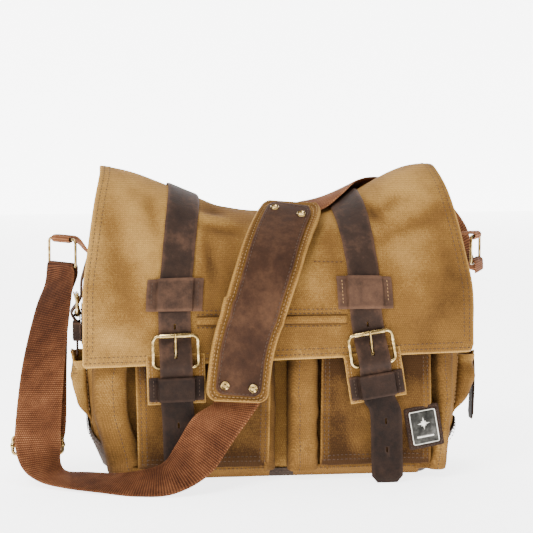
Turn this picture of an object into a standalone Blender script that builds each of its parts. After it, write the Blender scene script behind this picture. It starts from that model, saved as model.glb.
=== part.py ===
"""Canvas messenger bag with leather straps, built as separate solids.

Frame: metres, +Z up, origin at the centre of the base, front of the bag towards -Y.
"""
import math

import bmesh
import bpy
from mathutils import Vector

MM = 0.001
GAP = 0.3 * MM

# Driving dimensions of the bag
BODY_HALF_W = 165 * MM
BODY_HALF_D = 55 * MM
CANVAS = 2.4 * MM
LINING = 1.2 * MM
LINING_EASE = 2.8 * MM
BASE_LEATHER = 2.0 * MM
BASE_FRONT_H = 18 * MM
BASE_SIDE_H = 57 * MM
RIM_Z = 216 * MM

# Flap: a valley between two raised corners, then a flat hanging front
FLAP_T = 3 * MM
FLAP_HALF_W = 171 * MM
RIDGE_HALF_W = 150 * MM
RIDGE_Z = 231 * MM
EAR_RISE = 40 * MM
VALLEY_X = -8 * MM
VALLEY_HALF = 152 * MM
RIGHT_SLOPE = 1.8
FRONT_Y = -81.5 * MM
STRAIGHT_Z = 150 * MM
FLAP_BOTTOM_Z = 108 * MM
FLAP_SKEW = 4.5 * MM
HINGE_Y = 57.5 * MM
HINGE_Z = 203.5 * MM

# Pockets
POCKET_WALL = 1.5 * MM
FRONT_POCKET_BACK = -57.7 * MM
FRONT_POCKET_DEPTH = 20 * MM
FRONT_POCKET_Z = (14 * MM, 122 * MM)
FRONT_POCKET_X = {"left": (-152 * MM, -7 * MM), "right": (11 * MM, 150 * MM)}
SIDE_POCKET_DEPTH = 16 * MM
SIDE_POCKET_HALF_Y = 40 * MM
SIDE_POCKET_Z = (24 * MM, 98 * MM)

# Leather straps and buckles
WIRE = 1.4 * MM
ROLLER_R = 2.2 * MM
PRONG_R = 1.0 * MM
CHAPE_T = 1.0 * MM
CHAPE_GAP = 0.25 * MM
PRONG_CLEAR = 0.9 * MM
BUCKLE_D = 5.2 * MM
FRONT_STRAP_W = 26 * MM
STRAP_T = 2.2 * MM
STRAP_D = 1.6 * MM
BUCKLE_OUT_W = 41 * MM
BUCKLE_OUT_H = 30 * MM
SIDE_STRAP_W = 16 * MM

# Shoulder strap
WEB_W = 38 * MM
WEB_T = 1.8 * MM
RING_X = 192 * MM
RING_HALF_W = 20.7 * MM
RING_DROP = 25.5 * MM
TAB_W = 28 * MM
RING_WIRE = 1.3 * MM
PAD_W = 54 * MM
PAD_T = 8 * MM
PAD_LEATHER_T = 2 * MM

COLOURS = {
    "canvas": ((0.36, 0.20, 0.075), 0.9, 0.0),
    "strap_leather": ((0.075, 0.045, 0.032), 0.65, 0.0),
    "base_leather": ((0.06, 0.04, 0.03), 0.7, 0.0),
    "pad_leather": ((0.11, 0.055, 0.035), 0.7, 0.0),
    "webbing": ((0.21, 0.09, 0.045), 0.9, 0.0),
    "brass": ((0.60, 0.45, 0.20), 0.3, 1.0),
    "lining": ((0.12, 0.10, 0.07), 0.9, 0.0),
    "badge_metal": ((0.35, 0.33, 0.30), 0.4, 1.0),
}


def material(key):
    """The Principled material for one colour key, made once."""
    found = bpy.data.materials.get(key)
    if found:
        return found
    colour, roughness, metallic = COLOURS[key]
    made = bpy.data.materials.new(key)
    made.use_nodes = True
    shader = made.node_tree.nodes["Principled BSDF"]
    shader.inputs["Base Color"].default_value = (*colour, 1.0)
    shader.inputs["Roughness"].default_value = roughness
    shader.inputs["Metallic"].default_value = metallic
    made.diffuse_color = (*colour, 1.0)
    return made


def add_object(name, verts, faces, key, origin=(0, 0, 0), smooth=True):
    """A mesh object whose outward-facing surface is given in world coordinates."""
    start = Vector(origin)
    mesh = bpy.data.meshes.new(name)
    bm = bmesh.new()
    made = [bm.verts.new(Vector(v) - start) for v in verts]
    for face in faces:
        bm.faces.new([made[i] for i in face])
    bmesh.ops.recalc_face_normals(bm, faces=bm.faces)
    bm.to_mesh(mesh)
    bm.free()
    if smooth:
        mesh.shade_smooth()
        mesh.set_sharp_from_angle(angle=math.radians(35))
    obj = bpy.data.objects.new(name, mesh)
    obj.location = start
    mesh.materials.append(material(key))
    bpy.context.scene.collection.objects.link(obj)
    return obj


def slab(name, outer, inner, key, origin=(0, 0, 0)):
    """A closed sheet between two grids of points that have the same rows and columns."""
    rows, cols = len(outer), len(outer[0])
    verts = [p for row in outer for p in row] + [p for row in inner for p in row]
    shift = rows * cols

    def at(r, c, layer=0):
        return layer * shift + r * cols + c

    faces = []
    for r in range(rows - 1):
        for c in range(cols - 1):
            faces.append((at(r, c), at(r, c + 1), at(r + 1, c + 1), at(r + 1, c)))
            faces.append((at(r, c, 1), at(r + 1, c, 1), at(r + 1, c + 1, 1), at(r, c + 1, 1)))
    for c in range(cols - 1):
        for r in (0, rows - 1):
            faces.append((at(r, c), at(r, c + 1), at(r, c + 1, 1), at(r, c, 1)))
    for r in range(rows - 1):
        for c in (0, cols - 1):
            faces.append((at(r, c), at(r + 1, c), at(r + 1, c, 1), at(r, c, 1)))
    return add_object(name, verts, faces, key, origin)


def sweep(name, sections, key, closed=False, origin=(0, 0, 0)):
    """A solid through equal loops of points, with flat ends unless it closes on itself."""
    count = len(sections[0])
    verts = [p for section in sections for p in section]
    faces = []
    last = len(sections) if closed else len(sections) - 1
    for s in range(last):
        a = s * count
        b = ((s + 1) % len(sections)) * count
        for i in range(count):
            j = (i + 1) % count
            faces.append((a + i, a + j, b + j, b + i))
    if not closed:
        faces.append(tuple(range(count)))
        faces.append(tuple(range(len(verts) - 1, len(verts) - count - 1, -1)))
    return add_object(name, verts, faces, key, origin)


def smooth_path(points, per_span=6):
    """Points of any length along a Catmull-Rom curve through the given ones."""
    pts = [Vector(p) for p in points]
    ends = [pts[0] * 2 - pts[1]] + pts + [pts[-1] * 2 - pts[-2]]
    out = []
    for k in range(1, len(ends) - 2):
        a, b, c, d = ends[k - 1:k + 3]
        for step in range(per_span):
            t = step / per_span
            out.append(0.5 * (2 * b + (c - a) * t + (2 * a - 5 * b + 4 * c - d) * t * t
                              + (3 * b - a - 3 * c + d) * t ** 3))
    return out + [pts[-1]]


def smooth_value(t, knots):
    """A smooth curve value at t through (position, value, ...) knots, as a tuple."""
    for left, right in zip(knots, knots[1:]):
        if t <= right[0]:
            break
    f = min(max((t - left[0]) / (right[0] - left[0]), 0.0), 1.0)
    f = f * f * (3 - 2 * f)
    return tuple(a + (b - a) * f for a, b in zip(left[1:], right[1:]))


def lerp_value(t, knots):
    """A straight-line value at t through (position, value, ...) knots, as a tuple."""
    for left, right in zip(knots, knots[1:]):
        if t <= right[0]:
            break
    f = min(max((t - left[0]) / (right[0] - left[0]), 0.0), 1.0)
    return tuple(a + (b - a) * f for a, b in zip(left[1:], right[1:]))


def ease(f):
    f = min(max(f, 0.0), 1.0)
    return f * f * (3 - 2 * f)


def tube(name, path, plane, radius, key, closed=True, sides=8, origin=(0, 0, 0)):
    """A round wire along a path that lies in one plane."""
    pts = [Vector(p) for p in path]
    flat = Vector(plane).normalized()
    sections = []
    for i, point in enumerate(pts):
        before = pts[i - 1] if closed or i > 0 else point
        after = pts[(i + 1) % len(pts)] if closed or i < len(pts) - 1 else point
        along = (after - before).normalized()
        across = along.cross(flat).normalized()
        ring = []
        for k in range(sides):
            a = 2 * math.pi * k / sides
            ring.append(point + radius * (across * math.cos(a) + flat * math.sin(a)))
        sections.append(ring)
    return sweep(name, sections, key, closed, origin)


def rounded_rectangle(half_w, half_h, radius, arc_steps=4, steps=1):
    """Corner-rounded rectangle as (u, v) points, counter-clockwise, with points on the sides."""
    corners = ((half_w, half_h, 0), (-half_w, half_h, 90), (-half_w, -half_h, 180), (half_w, -half_h, 270))
    arcs = []
    for u, v, start in corners:
        cu = u - math.copysign(radius, u)
        cv = v - math.copysign(radius, v)
        arcs.append([(cu + radius * math.cos(math.radians(start + 90 * k / arc_steps)),
                      cv + radius * math.sin(math.radians(start + 90 * k / arc_steps)))
                     for k in range(arc_steps + 1)])
    out = []
    for arc, following in zip(arcs, arcs[1:] + arcs[:1]):
        out += arc
        a, b = arc[-1], following[0]
        out += [(a[0] + (b[0] - a[0]) * k / steps, a[1] + (b[1] - a[1]) * k / steps)
                for k in range(1, steps)]
    return out


def cup(name, outer, inner, key, origin=(0, 0, 0)):
    """An open-topped shell: two stacks of rings from the bottom up, joined at the rim."""
    return sweep(name, outer + inner[::-1], key, False, origin)


# ---------------------------------------------------------------- bag body

def valley(x):
    """How far the soft top edge is raised at x, from 0 in the middle to 1 at the corners."""
    reach = min(abs(x - VALLEY_X) / VALLEY_HALF, 1.0)
    rise = 0.5 - 0.5 * math.cos(math.pi * reach)
    return rise if x < VALLEY_X else rise ** RIGHT_SLOPE


BODY_LEVELS = (
    # height, half width, half depth, centre y, share of the corner rise
    (BASE_LEATHER + GAP, 138 * MM, 46 * MM, 0.0, 0.0),
    (12 * MM, 149 * MM, 52 * MM, 0.0, 0.0),
    (40 * MM, 161 * MM, 54.5 * MM, 0.0, 0.0),
    (100 * MM, BODY_HALF_W, BODY_HALF_D, 0.0, 0.0),
    (160 * MM, 162 * MM, 52 * MM, 1 * MM, 0.3),
    (195 * MM, 156 * MM, 44 * MM, 5 * MM, 0.65),
    (RIM_Z, 148 * MM, 31 * MM, 12 * MM, 1.0),
)


def body_ring(level, inset, corner=20 * MM):
    """One rounded-rectangle ring of the body, moved in from the outer face by inset."""
    z, half_w, half_d, centre_y, share = level
    outline = rounded_rectangle(half_w - inset, half_d - inset, corner - inset, 4, 6)
    rise = EAR_RISE - 4 * MM
    return [(u, centre_y + v, z + share * rise * valley(u)) for u, v in outline]


def body_shell(name, inset, wall, key):
    """A soft open-topped shell between two insets of the body's outer face."""
    outer = [body_ring(level, inset) for level in BODY_LEVELS]
    inner = [body_ring(level, inset + wall) for level in BODY_LEVELS]
    floor = BODY_LEVELS[0][0] + inset
    outer[0] = [(x, y, floor) for x, y, _ in outer[0]]
    inner[0] = [(x, y, floor + wall) for x, y, _ in inner[0]]
    return cup(name, outer, inner, key)


def base_ring(z, inset, top_share):
    """A ring of the leather base, whose top edge climbs towards the bag's two ends."""
    half_w, half_d, centre_y, _ = lerp_value(z, BODY_LEVELS)
    outline = rounded_rectangle(half_w - inset, half_d - inset, 20 * MM - inset, 4, 6)
    out = []
    for u, v in outline:
        climb = ease((abs(u) - 125 * MM) / (30 * MM)) * (BASE_SIDE_H - BASE_FRONT_H)
        top = z + top_share * climb
        wide, deep, _, _ = lerp_value(top, BODY_LEVELS)
        out.append((u * (wide - inset) / (half_w - inset), v * (deep - inset) / (half_d - inset), top))
    return out


def build_base():
    """The leather tray around the bottom of the body, hollowed by the body's own shape."""
    bottom = BODY_LEVELS[0][0]
    shares = ((bottom, 0.0), (7 * MM, 0.3), (12 * MM, 0.65), (BASE_FRONT_H, 1.0))
    outer = [base_ring(z, -GAP - BASE_LEATHER, share) for z, share in shares]
    outer[0] = [(x, y, bottom - GAP - BASE_LEATHER) for x, y, _ in outer[0]]
    base = sweep("leather_base", outer, "base_leather")
    hollow = [body_ring(level, -GAP) for level in BODY_LEVELS[:4]]
    hollow[0] = [(x, y, bottom - GAP) for x, y, _ in hollow[0]]
    boolean(base, sweep("base_cutter", hollow, "base_leather"), "DIFFERENCE")


# ---------------------------------------------------------------- flap surface

def ridge_height(x):
    return RIDGE_Z + EAR_RISE * valley(x)


def flap_profile(x):
    """The flap's outer face in the YZ plane at x: back seam, over the ridge, to the straight front."""
    top = ridge_height(x)
    return [(60.5 * MM, 204.5 * MM), (58 * MM, 204.5 * MM + 0.55 * (top - 204.5 * MM)),
            (36 * MM, top - 5 * MM), (2 * MM, top), (-38 * MM, top - 0.30 * (top - 190 * MM)),
            (-70 * MM, 190 * MM), (FRONT_Y, STRAIGHT_Z)]


def surface_point(x, t, d=0.0):
    """The point d outside the flap's outer face. t runs 0 to 1 over the top, 1 to 2 down the front."""
    if t >= 1.0:
        return Vector((x, FRONT_Y - d, STRAIGHT_Z * (2.0 - t)))
    knots = flap_profile(x)
    knots = [(2 * knots[0][0] - knots[1][0], 2 * knots[0][1] - knots[1][1])] + knots
    knots.append((FRONT_Y, STRAIGHT_Z - 35 * MM))
    place = max(t, 0.0) * (len(knots) - 3)
    k = min(int(place), len(knots) - 4)
    f = place - k
    a, b, c, e = (Vector((0, *p)) for p in knots[k:k + 4])
    bend, twist = 2 * a - 5 * b + 4 * c - e, 3 * b - a - 3 * c + e
    point = 0.5 * (2 * b + (c - a) * f + bend * f * f + twist * f ** 3)
    along = 0.5 * ((c - a) + 2 * bend * f + 3 * twist * f * f)
    out = Vector((0, along.z, -along.y)).normalized()
    return Vector((x, point.y + out.y * d, point.z + out.z * d))


def t_at(z):
    """The path value of a height on the straight front."""
    return 2.0 - z / STRAIGHT_Z


def flap_bottom(x):
    return FLAP_BOTTOM_Z + FLAP_SKEW * x / FLAP_HALF_W


def flap_half_width(t):
    return smooth_value(t, ((0.0, 148 * MM), (0.5, RIDGE_HALF_W), (0.95, 168 * MM), (2.0, FLAP_HALF_W)))[0]


def build_flap():
    """The flap, a canvas sheet from the back seam over the ridge to its hem."""
    columns = 22
    top_rows = 16
    outer, inner = [], []
    for r in range(top_rows + 4):
        row_out, row_in = [], []
        for c in range(columns + 1):
            side = 2 * c / columns - 1
            if r <= top_rows:
                t = r / top_rows
            else:
                x = side * FLAP_HALF_W
                t = 1.0 + (t_at(flap_bottom(x)) - 1.0) * (r - top_rows) / 3
            x = side * flap_half_width(t)
            row_out.append(surface_point(x, t, 0.0))
            row_in.append(surface_point(x, t, -FLAP_T))
        outer.append(row_out)
        inner.append(row_in)
    return slab("flap", outer, inner, "canvas", (0, HINGE_Y, HINGE_Z))


def build_welt():
    """The welt of the flap's slit pocket, a narrow folded strip between the two leather straps."""
    low, high, depth = 138 * MM, 146 * MM, 1.0 * MM
    left, right = -72 * MM, 57 * MM
    outer = [[(x, FRONT_Y - GAP - depth, z) for x in (left, right)] for z in (low, high)]
    inner = [[(x, FRONT_Y - GAP, z) for x in (left, right)] for z in (low, high)]
    return slab("flap_pocket_welt", outer, inner, "canvas", (0, HINGE_Y, HINGE_Z))


# ---------------------------------------------------------------- pockets

def pocket_shell(name, left, right, front, back, low, high, key, bulge, turn=0.0):
    """An open-topped pouch. It is drawn facing -Y and turned about Z for the bag's ends."""
    half_w = (right - left) / 2
    half_d = (back - front) / 2
    levels = ((0.0, 0.80), (0.10, 0.95), (0.35, 1.0), (0.75, 1.0), (1.0, bulge))
    outer, inner = [], []
    for share, swell in levels:
        z = low + (high - low) * share
        for stack, inset in ((outer, 0.0), (inner, POCKET_WALL)):
            depth = half_d * swell - inset
            outline = rounded_rectangle(half_w - inset - (1 - swell) * 6 * MM, depth,
                                        min(7 * MM, half_d * 0.7) - inset, 3, 3)
            lift = POCKET_WALL if share == 0 and inset else 0.0
            ring = [((left + right) / 2 + u, back - half_d * swell + v, z + lift) for u, v in outline]
            stack.append([(x * math.cos(turn) - y * math.sin(turn),
                           x * math.sin(turn) + y * math.cos(turn), h) for x, y, h in ring])
    return cup(name, outer, inner, key)


def build_pockets():
    low, high = FRONT_POCKET_Z
    for side, (left, right) in FRONT_POCKET_X.items():
        front = FRONT_POCKET_BACK - FRONT_POCKET_DEPTH
        pocket_shell("front_pocket_" + side, left, right, front, FRONT_POCKET_BACK, low, high,
                     "canvas", 0.97)
    low, high = SIDE_POCKET_Z
    clear = BODY_HALF_W + BASE_LEATHER + 2 * GAP
    for side, turn in (("left", -math.pi / 2), ("right", math.pi / 2)):
        pocket_shell("side_pocket_" + side, -SIDE_POCKET_HALF_Y, SIDE_POCKET_HALF_Y,
                     -clear - SIDE_POCKET_DEPTH, -clear, low, high, "canvas", 0.85, turn)


def build_badge():
    """The small badge at the lower right of the right pocket: leather backing and a framed plate."""
    centre = Vector((125.5 * MM, 0, 47 * MM))
    face = FRONT_POCKET_BACK - FRONT_POCKET_DEPTH
    lean = math.radians(10)

    def card(name, half_w, half_h, y, depth, key):
        outline = rounded_rectangle(half_w, half_h, 2 * MM, 3)
        turned = [(centre.x + u * math.cos(lean) - v * math.sin(lean),
                   centre.z + u * math.sin(lean) + v * math.cos(lean)) for u, v in outline]
        sections = [[(x, y, z) for x, z in turned], [(x, y - depth, z) for x, z in turned]]
        return sweep(name, sections, key)

    card("badge_backing", 15.5 * MM, 18.5 * MM, face - GAP, 1.5 * MM, "strap_leather")
    card("badge_plate", 11.8 * MM, 14.8 * MM, face - 2 * GAP - 1.5 * MM, 1.2 * MM, "badge_metal")


# ---------------------------------------------------------------- buckled straps

def boolean(target, cutter, operation):
    """Apply one exact Boolean and remove the second object."""
    step = target.modifiers.new(operation.lower(), "BOOLEAN")
    step.operation = operation
    step.object = cutter
    step.solver = "EXACT"
    graph = bpy.context.evaluated_depsgraph_get()
    result = bpy.data.meshes.new_from_object(target.evaluated_get(graph))
    target.modifiers.remove(step)
    result.name = target.name
    target.data = result
    bpy.data.objects.remove(cutter)


def front_frame(centre_x, lean):
    """Maps (across, up, out) on the flap's straight front to world coordinates."""
    centre_z = 117 * MM

    def place(u, v, d):
        return Vector((centre_x + u * math.cos(lean) - v * math.sin(lean), FRONT_Y - d,
                       centre_z + u * math.sin(lean) + v * math.cos(lean)))
    return place


def side_frame(sign):
    """Maps (across, up, out) on a bag end to world coordinates; sign is -1 left, 1 right."""
    def place(u, v, d):
        return Vector((sign * (166.5 * MM + d), u, 150 * MM + v))
    return place


def strap_solid(name, rows, half_w, origin=(0, 0, 0)):
    """A leather strap from rows of (place function, v, d), with its thickness split about d."""
    columns = (-half_w, 0.0, half_w)
    outer = [[put(u, v, d + STRAP_T / 2) for u in columns] for put, v, d in rows]
    inner = [[put(u, v, d - STRAP_T / 2) for u in columns] for put, v, d in rows]
    return slab(name, outer, inner, "strap_leather", origin)


def cut_hole(strap, place, v, half_u, half_v):
    """An oblong hole straight through the strap."""
    outline = rounded_rectangle(half_u, half_v, half_u * 0.95, 3)
    sections = [[place(u, v + w, d) for u, w in outline] for d in (-4 * MM, 16 * MM)]
    cutter = sweep("hole_cutter", sections, "strap_leather")
    boolean(strap, cutter, "DIFFERENCE")


def keeper_solid(name, rows, put, half_flange, half_strap, flange_d, bridge_d, wall, origin):
    """A leather keeper: two sewn flanges and a bridge over the strap."""
    step = 1.0 * MM
    side = half_strap + 1.2 * MM
    inner_u = (-half_flange, -side - step, -side, side, side + step, half_flange)
    inner_d = (flange_d, flange_d, bridge_d, bridge_d, flange_d, flange_d)
    outer_u = (-half_flange, -side - step - 1.4 * MM, -side - 1.4 * MM,
               side + 1.4 * MM, side + step + 1.4 * MM, half_flange)
    outer = [[put(u, v, d + wall) for u, d in zip(outer_u, inner_d)] for v in rows]
    inner = [[put(u, v, d) for u, d in zip(inner_u, inner_d)] for v in rows]
    return slab(name, outer, inner, "strap_leather", origin)


def buckle_parts(side, prefix, place, half_strap, out_w, out_h, roller, origin):
    """The buckle's frame, roller, prong and chape, all in the strap's own frame."""
    half_w = out_w / 2 - WIRE
    half_h = out_h / 2 - WIRE
    radius = min(5 * MM, half_h * 0.45)
    normal = place(0, 0, 1) - place(0, 0, 0)
    outline = rounded_rectangle(half_w, half_h, radius, 4)
    tube(f"{prefix}_frame_{side}", [place(u, v, BUCKLE_D) for u, v in outline], normal, WIRE, "brass",
         sides=10, origin=origin)
    rest_r = WIRE
    if roller:
        rest_r = ROLLER_R
        half_len = half_strap + 0.5 * MM
        rings = []
        for u, r in ((-half_len, ROLLER_R), (half_len, ROLLER_R),
                     (half_len, WIRE + CHAPE_GAP), (-half_len, WIRE + CHAPE_GAP)):
            rings.append([place(u, half_h + r * math.cos(a), BUCKLE_D + r * math.sin(a))
                          for a in (2 * math.pi * k / 14 for k in range(14))])
        sweep(f"{prefix}_roller_{side}", rings, "brass", True, place(0, half_h, BUCKLE_D))
    eye = WIRE + CHAPE_GAP + PRONG_R
    path = []
    for k in range(9):
        a = math.radians(-255 + 165 * k / 8)
        path.append(place(0, -half_h + eye * math.cos(a), BUCKLE_D + eye * math.sin(a)))
    path.append(place(0, half_h + 2.0 * MM, BUCKLE_D + rest_r + PRONG_R + PRONG_CLEAR))
    across = place(1, 0, 0) - place(0, 0, 0)
    tube(f"{prefix}_prong_{side}", path, across, PRONG_R, "brass", False, 8, place(0, -half_h, BUCKLE_D))
    loop = WIRE + CHAPE_GAP + CHAPE_T / 2
    tail = -half_h - 26 * MM * half_strap / (FRONT_STRAP_W / 2)
    spine = [(tail, BUCKLE_D - loop), ((tail - half_h) / 2, BUCKLE_D - loop)]
    turns = []
    for k in range(13):
        a = math.radians(-90 + 275 * k / 12)
        turns.append((math.cos(a), math.sin(a)))
    half = CHAPE_T / 2
    chape_w = half_strap - 2 * MM
    inner = [[place(u, v, d + half) for u in (-chape_w, chape_w)] for v, d in spine]
    outer = [[place(u, v, d - half) for u in (-chape_w, chape_w)] for v, d in spine]
    inner += [[place(u, -half_h + (loop - half) * c, BUCKLE_D + (loop - half) * s)
               for u in (-chape_w, chape_w)] for c, s in turns]
    outer += [[place(u, -half_h + (loop + half) * c, BUCKLE_D + (loop + half) * s)
               for u in (-chape_w, chape_w)] for c, s in turns]
    chape = slab(f"{prefix}_chape_{side}", outer, inner, "strap_leather", origin)
    notch = PRONG_R + 0.7 * MM
    reach = loop + 1.2 * MM
    box = [[place(u, v, d) for v, d in ((-half_h - reach, 0), (-half_h + reach, 0),
                                        (-half_h + reach, 12 * MM), (-half_h - reach, 12 * MM))]
           for u in (-notch, notch)]
    boolean(chape, sweep("notch_cutter", box, "strap_leather"), "DIFFERENCE")
    return half_h


def sheet_card(name, place, half_u, low, high, near, far, key, origin):
    """A flat sewn-on sheet, from depth near to depth far."""
    outline = rounded_rectangle(half_u, (high - low) / 2, 2 * MM, 2)
    middle = (high + low) / 2
    return sweep(name, [[place(u, middle + v, d) for u, v in outline] for d in (near, far)], key,
                 origin=origin)


def disc(name, centre, normal, radius, height, key, dome=0.0, sides=16, origin=None):
    """A round disc, or a shallow dome where dome is the share of the height that is rounded."""
    axis = Vector(normal).normalized()
    across = axis.orthogonal().normalized()
    other = axis.cross(across)
    levels = [(0.0, 1.0), (1 - dome, 1.0)]
    if dome:
        levels += [(1 - dome * 0.35, 0.78), (1.0, 0.35)]
    rings = [[Vector(centre) + axis * height * h + radius * s * (across * math.cos(a) + other * math.sin(a))
              for a in (2 * math.pi * k / sides for k in range(sides))] for h, s in levels]
    return sweep(name, rings, key, False, origin or (0, 0, 0))


FRONT_SETS = {
    # side: buckle centre x, lean, x on the ridge, tail points as (x, height, d)
    "left": (-90.5 * MM, math.radians(1.5), -77 * MM,
             ((-88.5 * MM, 62 * MM, 5.6 * MM), (-87.5 * MM, 32 * MM, 5.0 * MM),
              (-86.5 * MM, 1.5 * MM, 5.5 * MM))),
    "right": (78 * MM, math.radians(9), 66 * MM,
              ((90 * MM, 62 * MM, 5.6 * MM), (91.5 * MM, 32 * MM, 5.0 * MM), (92 * MM, 1 * MM, 6 * MM))),
}
BUCKLE_RUN = ((16 * MM, 1.6 * MM), (9.5 * MM, 1.7 * MM), (3 * MM, 4.3 * MM), (-3 * MM, 7.0 * MM),
              (-9 * MM, 9.9 * MM), (-13.6 * MM, 10.3 * MM), (-17.5 * MM, 8.4 * MM), (-22 * MM, 6.2 * MM),
              (-34 * MM, 5.6 * MM), (-45 * MM, 5.6 * MM))


def build_front_set(side):
    """One closure strap with its keepers, roller buckle, tab and magnetic snap."""
    centre_x, lean, ridge_x, tail = FRONT_SETS[side]
    place = front_frame(centre_x, lean)
    hinge = (0, HINGE_Y, HINGE_Z)
    half = FRONT_STRAP_W / 2
    high = place(0, 30 * MM, 0)

    def upper(u, t, d):
        share = ease((t - 0.5) / 0.5)
        return surface_point(ridge_x + (high.x - ridge_x) * share + u, t, d)

    def hanging(u, point, d):
        return Vector((point[0] + u, FRONT_Y - d, point[1]))

    rows = [(upper, t / 20, STRAP_D) for t in range(3, 20)]
    rows += [(place, 30 * MM, STRAP_D + 0.9 * MM)]
    rows += [(place, v, d) for v, d in BUCKLE_RUN]
    rows += [(hanging, (x, z), d) for x, z, d in tail]
    strap = strap_solid("closure_strap_" + side, rows, half, hinge)
    cut_hole(strap, place, 0.3 * MM, 1.5 * MM, 6.2 * MM)

    def tail_hole(u, v, d):
        return Vector((tail[0][0] + u, FRONT_Y - d, v))

    for height in (54 * MM, 29 * MM):
        cut_hole(strap, tail_hole, height, 0.9 * MM, 2.6 * MM)
    keeper_solid("upper_keeper_" + side, (0.885, 0.92, 0.96, 0.995), upper, 23.5 * MM, half,
                 0.4 * MM, 3.6 * MM, 1.7 * MM, hinge)
    buckle_parts(side, "buckle", place, half, BUCKLE_OUT_W, BUCKLE_OUT_H, True, hinge)
    sheet_card("buckle_tab_" + side, place, 24.5 * MM, -45 * MM, -3 * MM, 0.4 * MM, 1.6 * MM, "canvas", hinge)
    keeper_solid("lower_keeper_" + side, (-42 * MM, -36 * MM, -29 * MM, -22.5 * MM), place, 23 * MM, half,
                 1.9 * MM, 8.0 * MM, 1.8 * MM, hinge)
    snap = place(0, -31 * MM, 0)
    face = FRONT_POCKET_BACK - FRONT_POCKET_DEPTH
    disc("snap_stud_" + side, (snap.x, FRONT_Y + 1.5 * MM, snap.z), (0, -1, 0), 7 * MM, 1.5 * MM, "brass",
         origin=hinge)
    disc("snap_socket_" + side, (snap.x, face - GAP, snap.z), (0, -1, 0), 7.5 * MM,
         face - GAP - FRONT_Y - 1.9 * MM, "brass")


SIDE_TAILS = {
    "left": ((-40 * MM, 5.4 * MM), (-47 * MM, 5.4 * MM)),
    "right": ((-40 * MM, 8 * MM), (-46 * MM, 13 * MM), (-51 * MM, 18 * MM), (-57 * MM, 20 * MM),
              (-80 * MM, 20.5 * MM), (-110 * MM, 19.5 * MM)),
}
SIDE_RUN = ((44 * MM, -6 * MM), (32 * MM, -2 * MM), (20 * MM, 1.2 * MM), (10 * MM, 1.7 * MM),
            (6.5 * MM, 1.9 * MM), (0.0, 5.2 * MM), (-5 * MM, 8.9 * MM), (-8.6 * MM, 10.3 * MM),
            (-13 * MM, 8.2 * MM), (-17.5 * MM, 5.8 * MM), (-33 * MM, 5.4 * MM))


def build_side_set(side, sign):
    """One compression strap with its small buckle and keeper on a bag end."""
    place = side_frame(sign)
    fixed = (0, 0, 0)
    half = SIDE_STRAP_W / 2
    rows = [(place, v, d) for v, d in SIDE_RUN + SIDE_TAILS[side]]
    strap = strap_solid("side_strap_" + side, rows, half, fixed)
    cut_hole(strap, place, -0.5 * MM, 1.4 * MM, 4.8 * MM)
    buckle_parts(side, "side_buckle", place, half, 26 * MM, 20 * MM, False, fixed)
    sheet_card("side_tab_" + side, place, 15.5 * MM, -36 * MM, -1 * MM, 0.4 * MM, 1.6 * MM,
               "strap_leather", fixed)
    keeper_solid("side_keeper_" + side, (-32 * MM, -26 * MM, -21 * MM, -16.5 * MM), place, 15 * MM, half,
                 1.9 * MM, 7.8 * MM, 1.6 * MM, fixed)


# ---------------------------------------------------------------- shoulder strap

PAD_LINE = ((0.57, 22 * MM), (0.667, 10 * MM), (0.833, -8 * MM), (1.0, -24.5 * MM), (1.2, -34 * MM),
            (1.51, -39.5 * MM))


def on_surface(centre_t, centre_x, u, d, slope):
    """A point u across a line on the flap, where slope is the line's lean from straight down."""
    span = 0.01
    step = surface_point(centre_x, centre_t + span) - surface_point(centre_x, centre_t - span)
    t = centre_t + u * math.sin(slope) * 2 * span / step.length
    return surface_point(centre_x + u * math.cos(slope), t, d)


def pad_station(share):
    """Centre and lean of the shoulder pad at a share of its length, from its upper end."""
    first, last = PAD_LINE[0][0], PAD_LINE[-1][0]
    t = first + (last - first) * share

    def centre(value):
        return lerp_value(value, PAD_LINE)[0]

    smooth = sum(centre(t + k * 0.04) for k in (-2, -1, 0, 1, 2)) / 5
    lean = math.atan2(centre(t - 0.09) - centre(t + 0.09),
                      (surface_point(smooth, t + 0.09) - surface_point(smooth, t - 0.09)).length)
    return t, smooth, lean


def pad_sheet(name, half_w, margin, near, far, key, rows=18):
    """A rounded panel along the pad's line."""
    length = 167 * MM
    corner = 11 * MM - margin * 0.4
    outer, inner = [], []
    for r in range(rows + 1):
        along = 0.5 - 0.5 * math.cos(math.pi * r / rows)
        share = margin / length + along * (1 - 2 * margin / length)
        t, x, lean = pad_station(share)
        end = min(along, 1 - along) * (length - 2 * margin)
        half = half_w
        if end < corner:
            half = half_w - corner + math.sqrt(max(corner ** 2 - (corner - end) ** 2, 0.0))
        columns = [half * c / 3 for c in range(-3, 4)]
        outer.append([on_surface(t, x, u, far, lean) for u in columns])
        inner.append([on_surface(t, x, u, near, lean) for u in columns])
    return slab(name, outer, inner, key, (0, HINGE_Y, HINGE_Z))


def build_pad():
    hinge = (0, HINGE_Y, HINGE_Z)
    base = 4.9 * MM
    face = base + PAD_T + 4 * GAP
    pad_sheet("pad_base", PAD_W / 2, 0.0, base, base + PAD_T, "canvas")
    pad_sheet("pad_leather", PAD_W / 2 - 7.5 * MM, 7.5 * MM, face, face + PAD_LEATHER_T, "pad_leather")
    number = 1
    for share in (0.10, 0.90):
        for u in (-12 * MM, 12 * MM):
            t, x, lean = pad_station(share)
            low = on_surface(t, x, u, face + PAD_LEATHER_T + GAP, lean)
            high = on_surface(t, x, u, face + PAD_LEATHER_T + 3 * MM, lean)
            disc(f"pad_rivet_{number}", low, high - low, 3.7 * MM, 1.5 * MM, "brass", 0.7, 14, hinge)
            number += 1


WEB_COLUMNS = [WEB_W * (k / 4 - 0.5) for k in range(5)]


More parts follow.
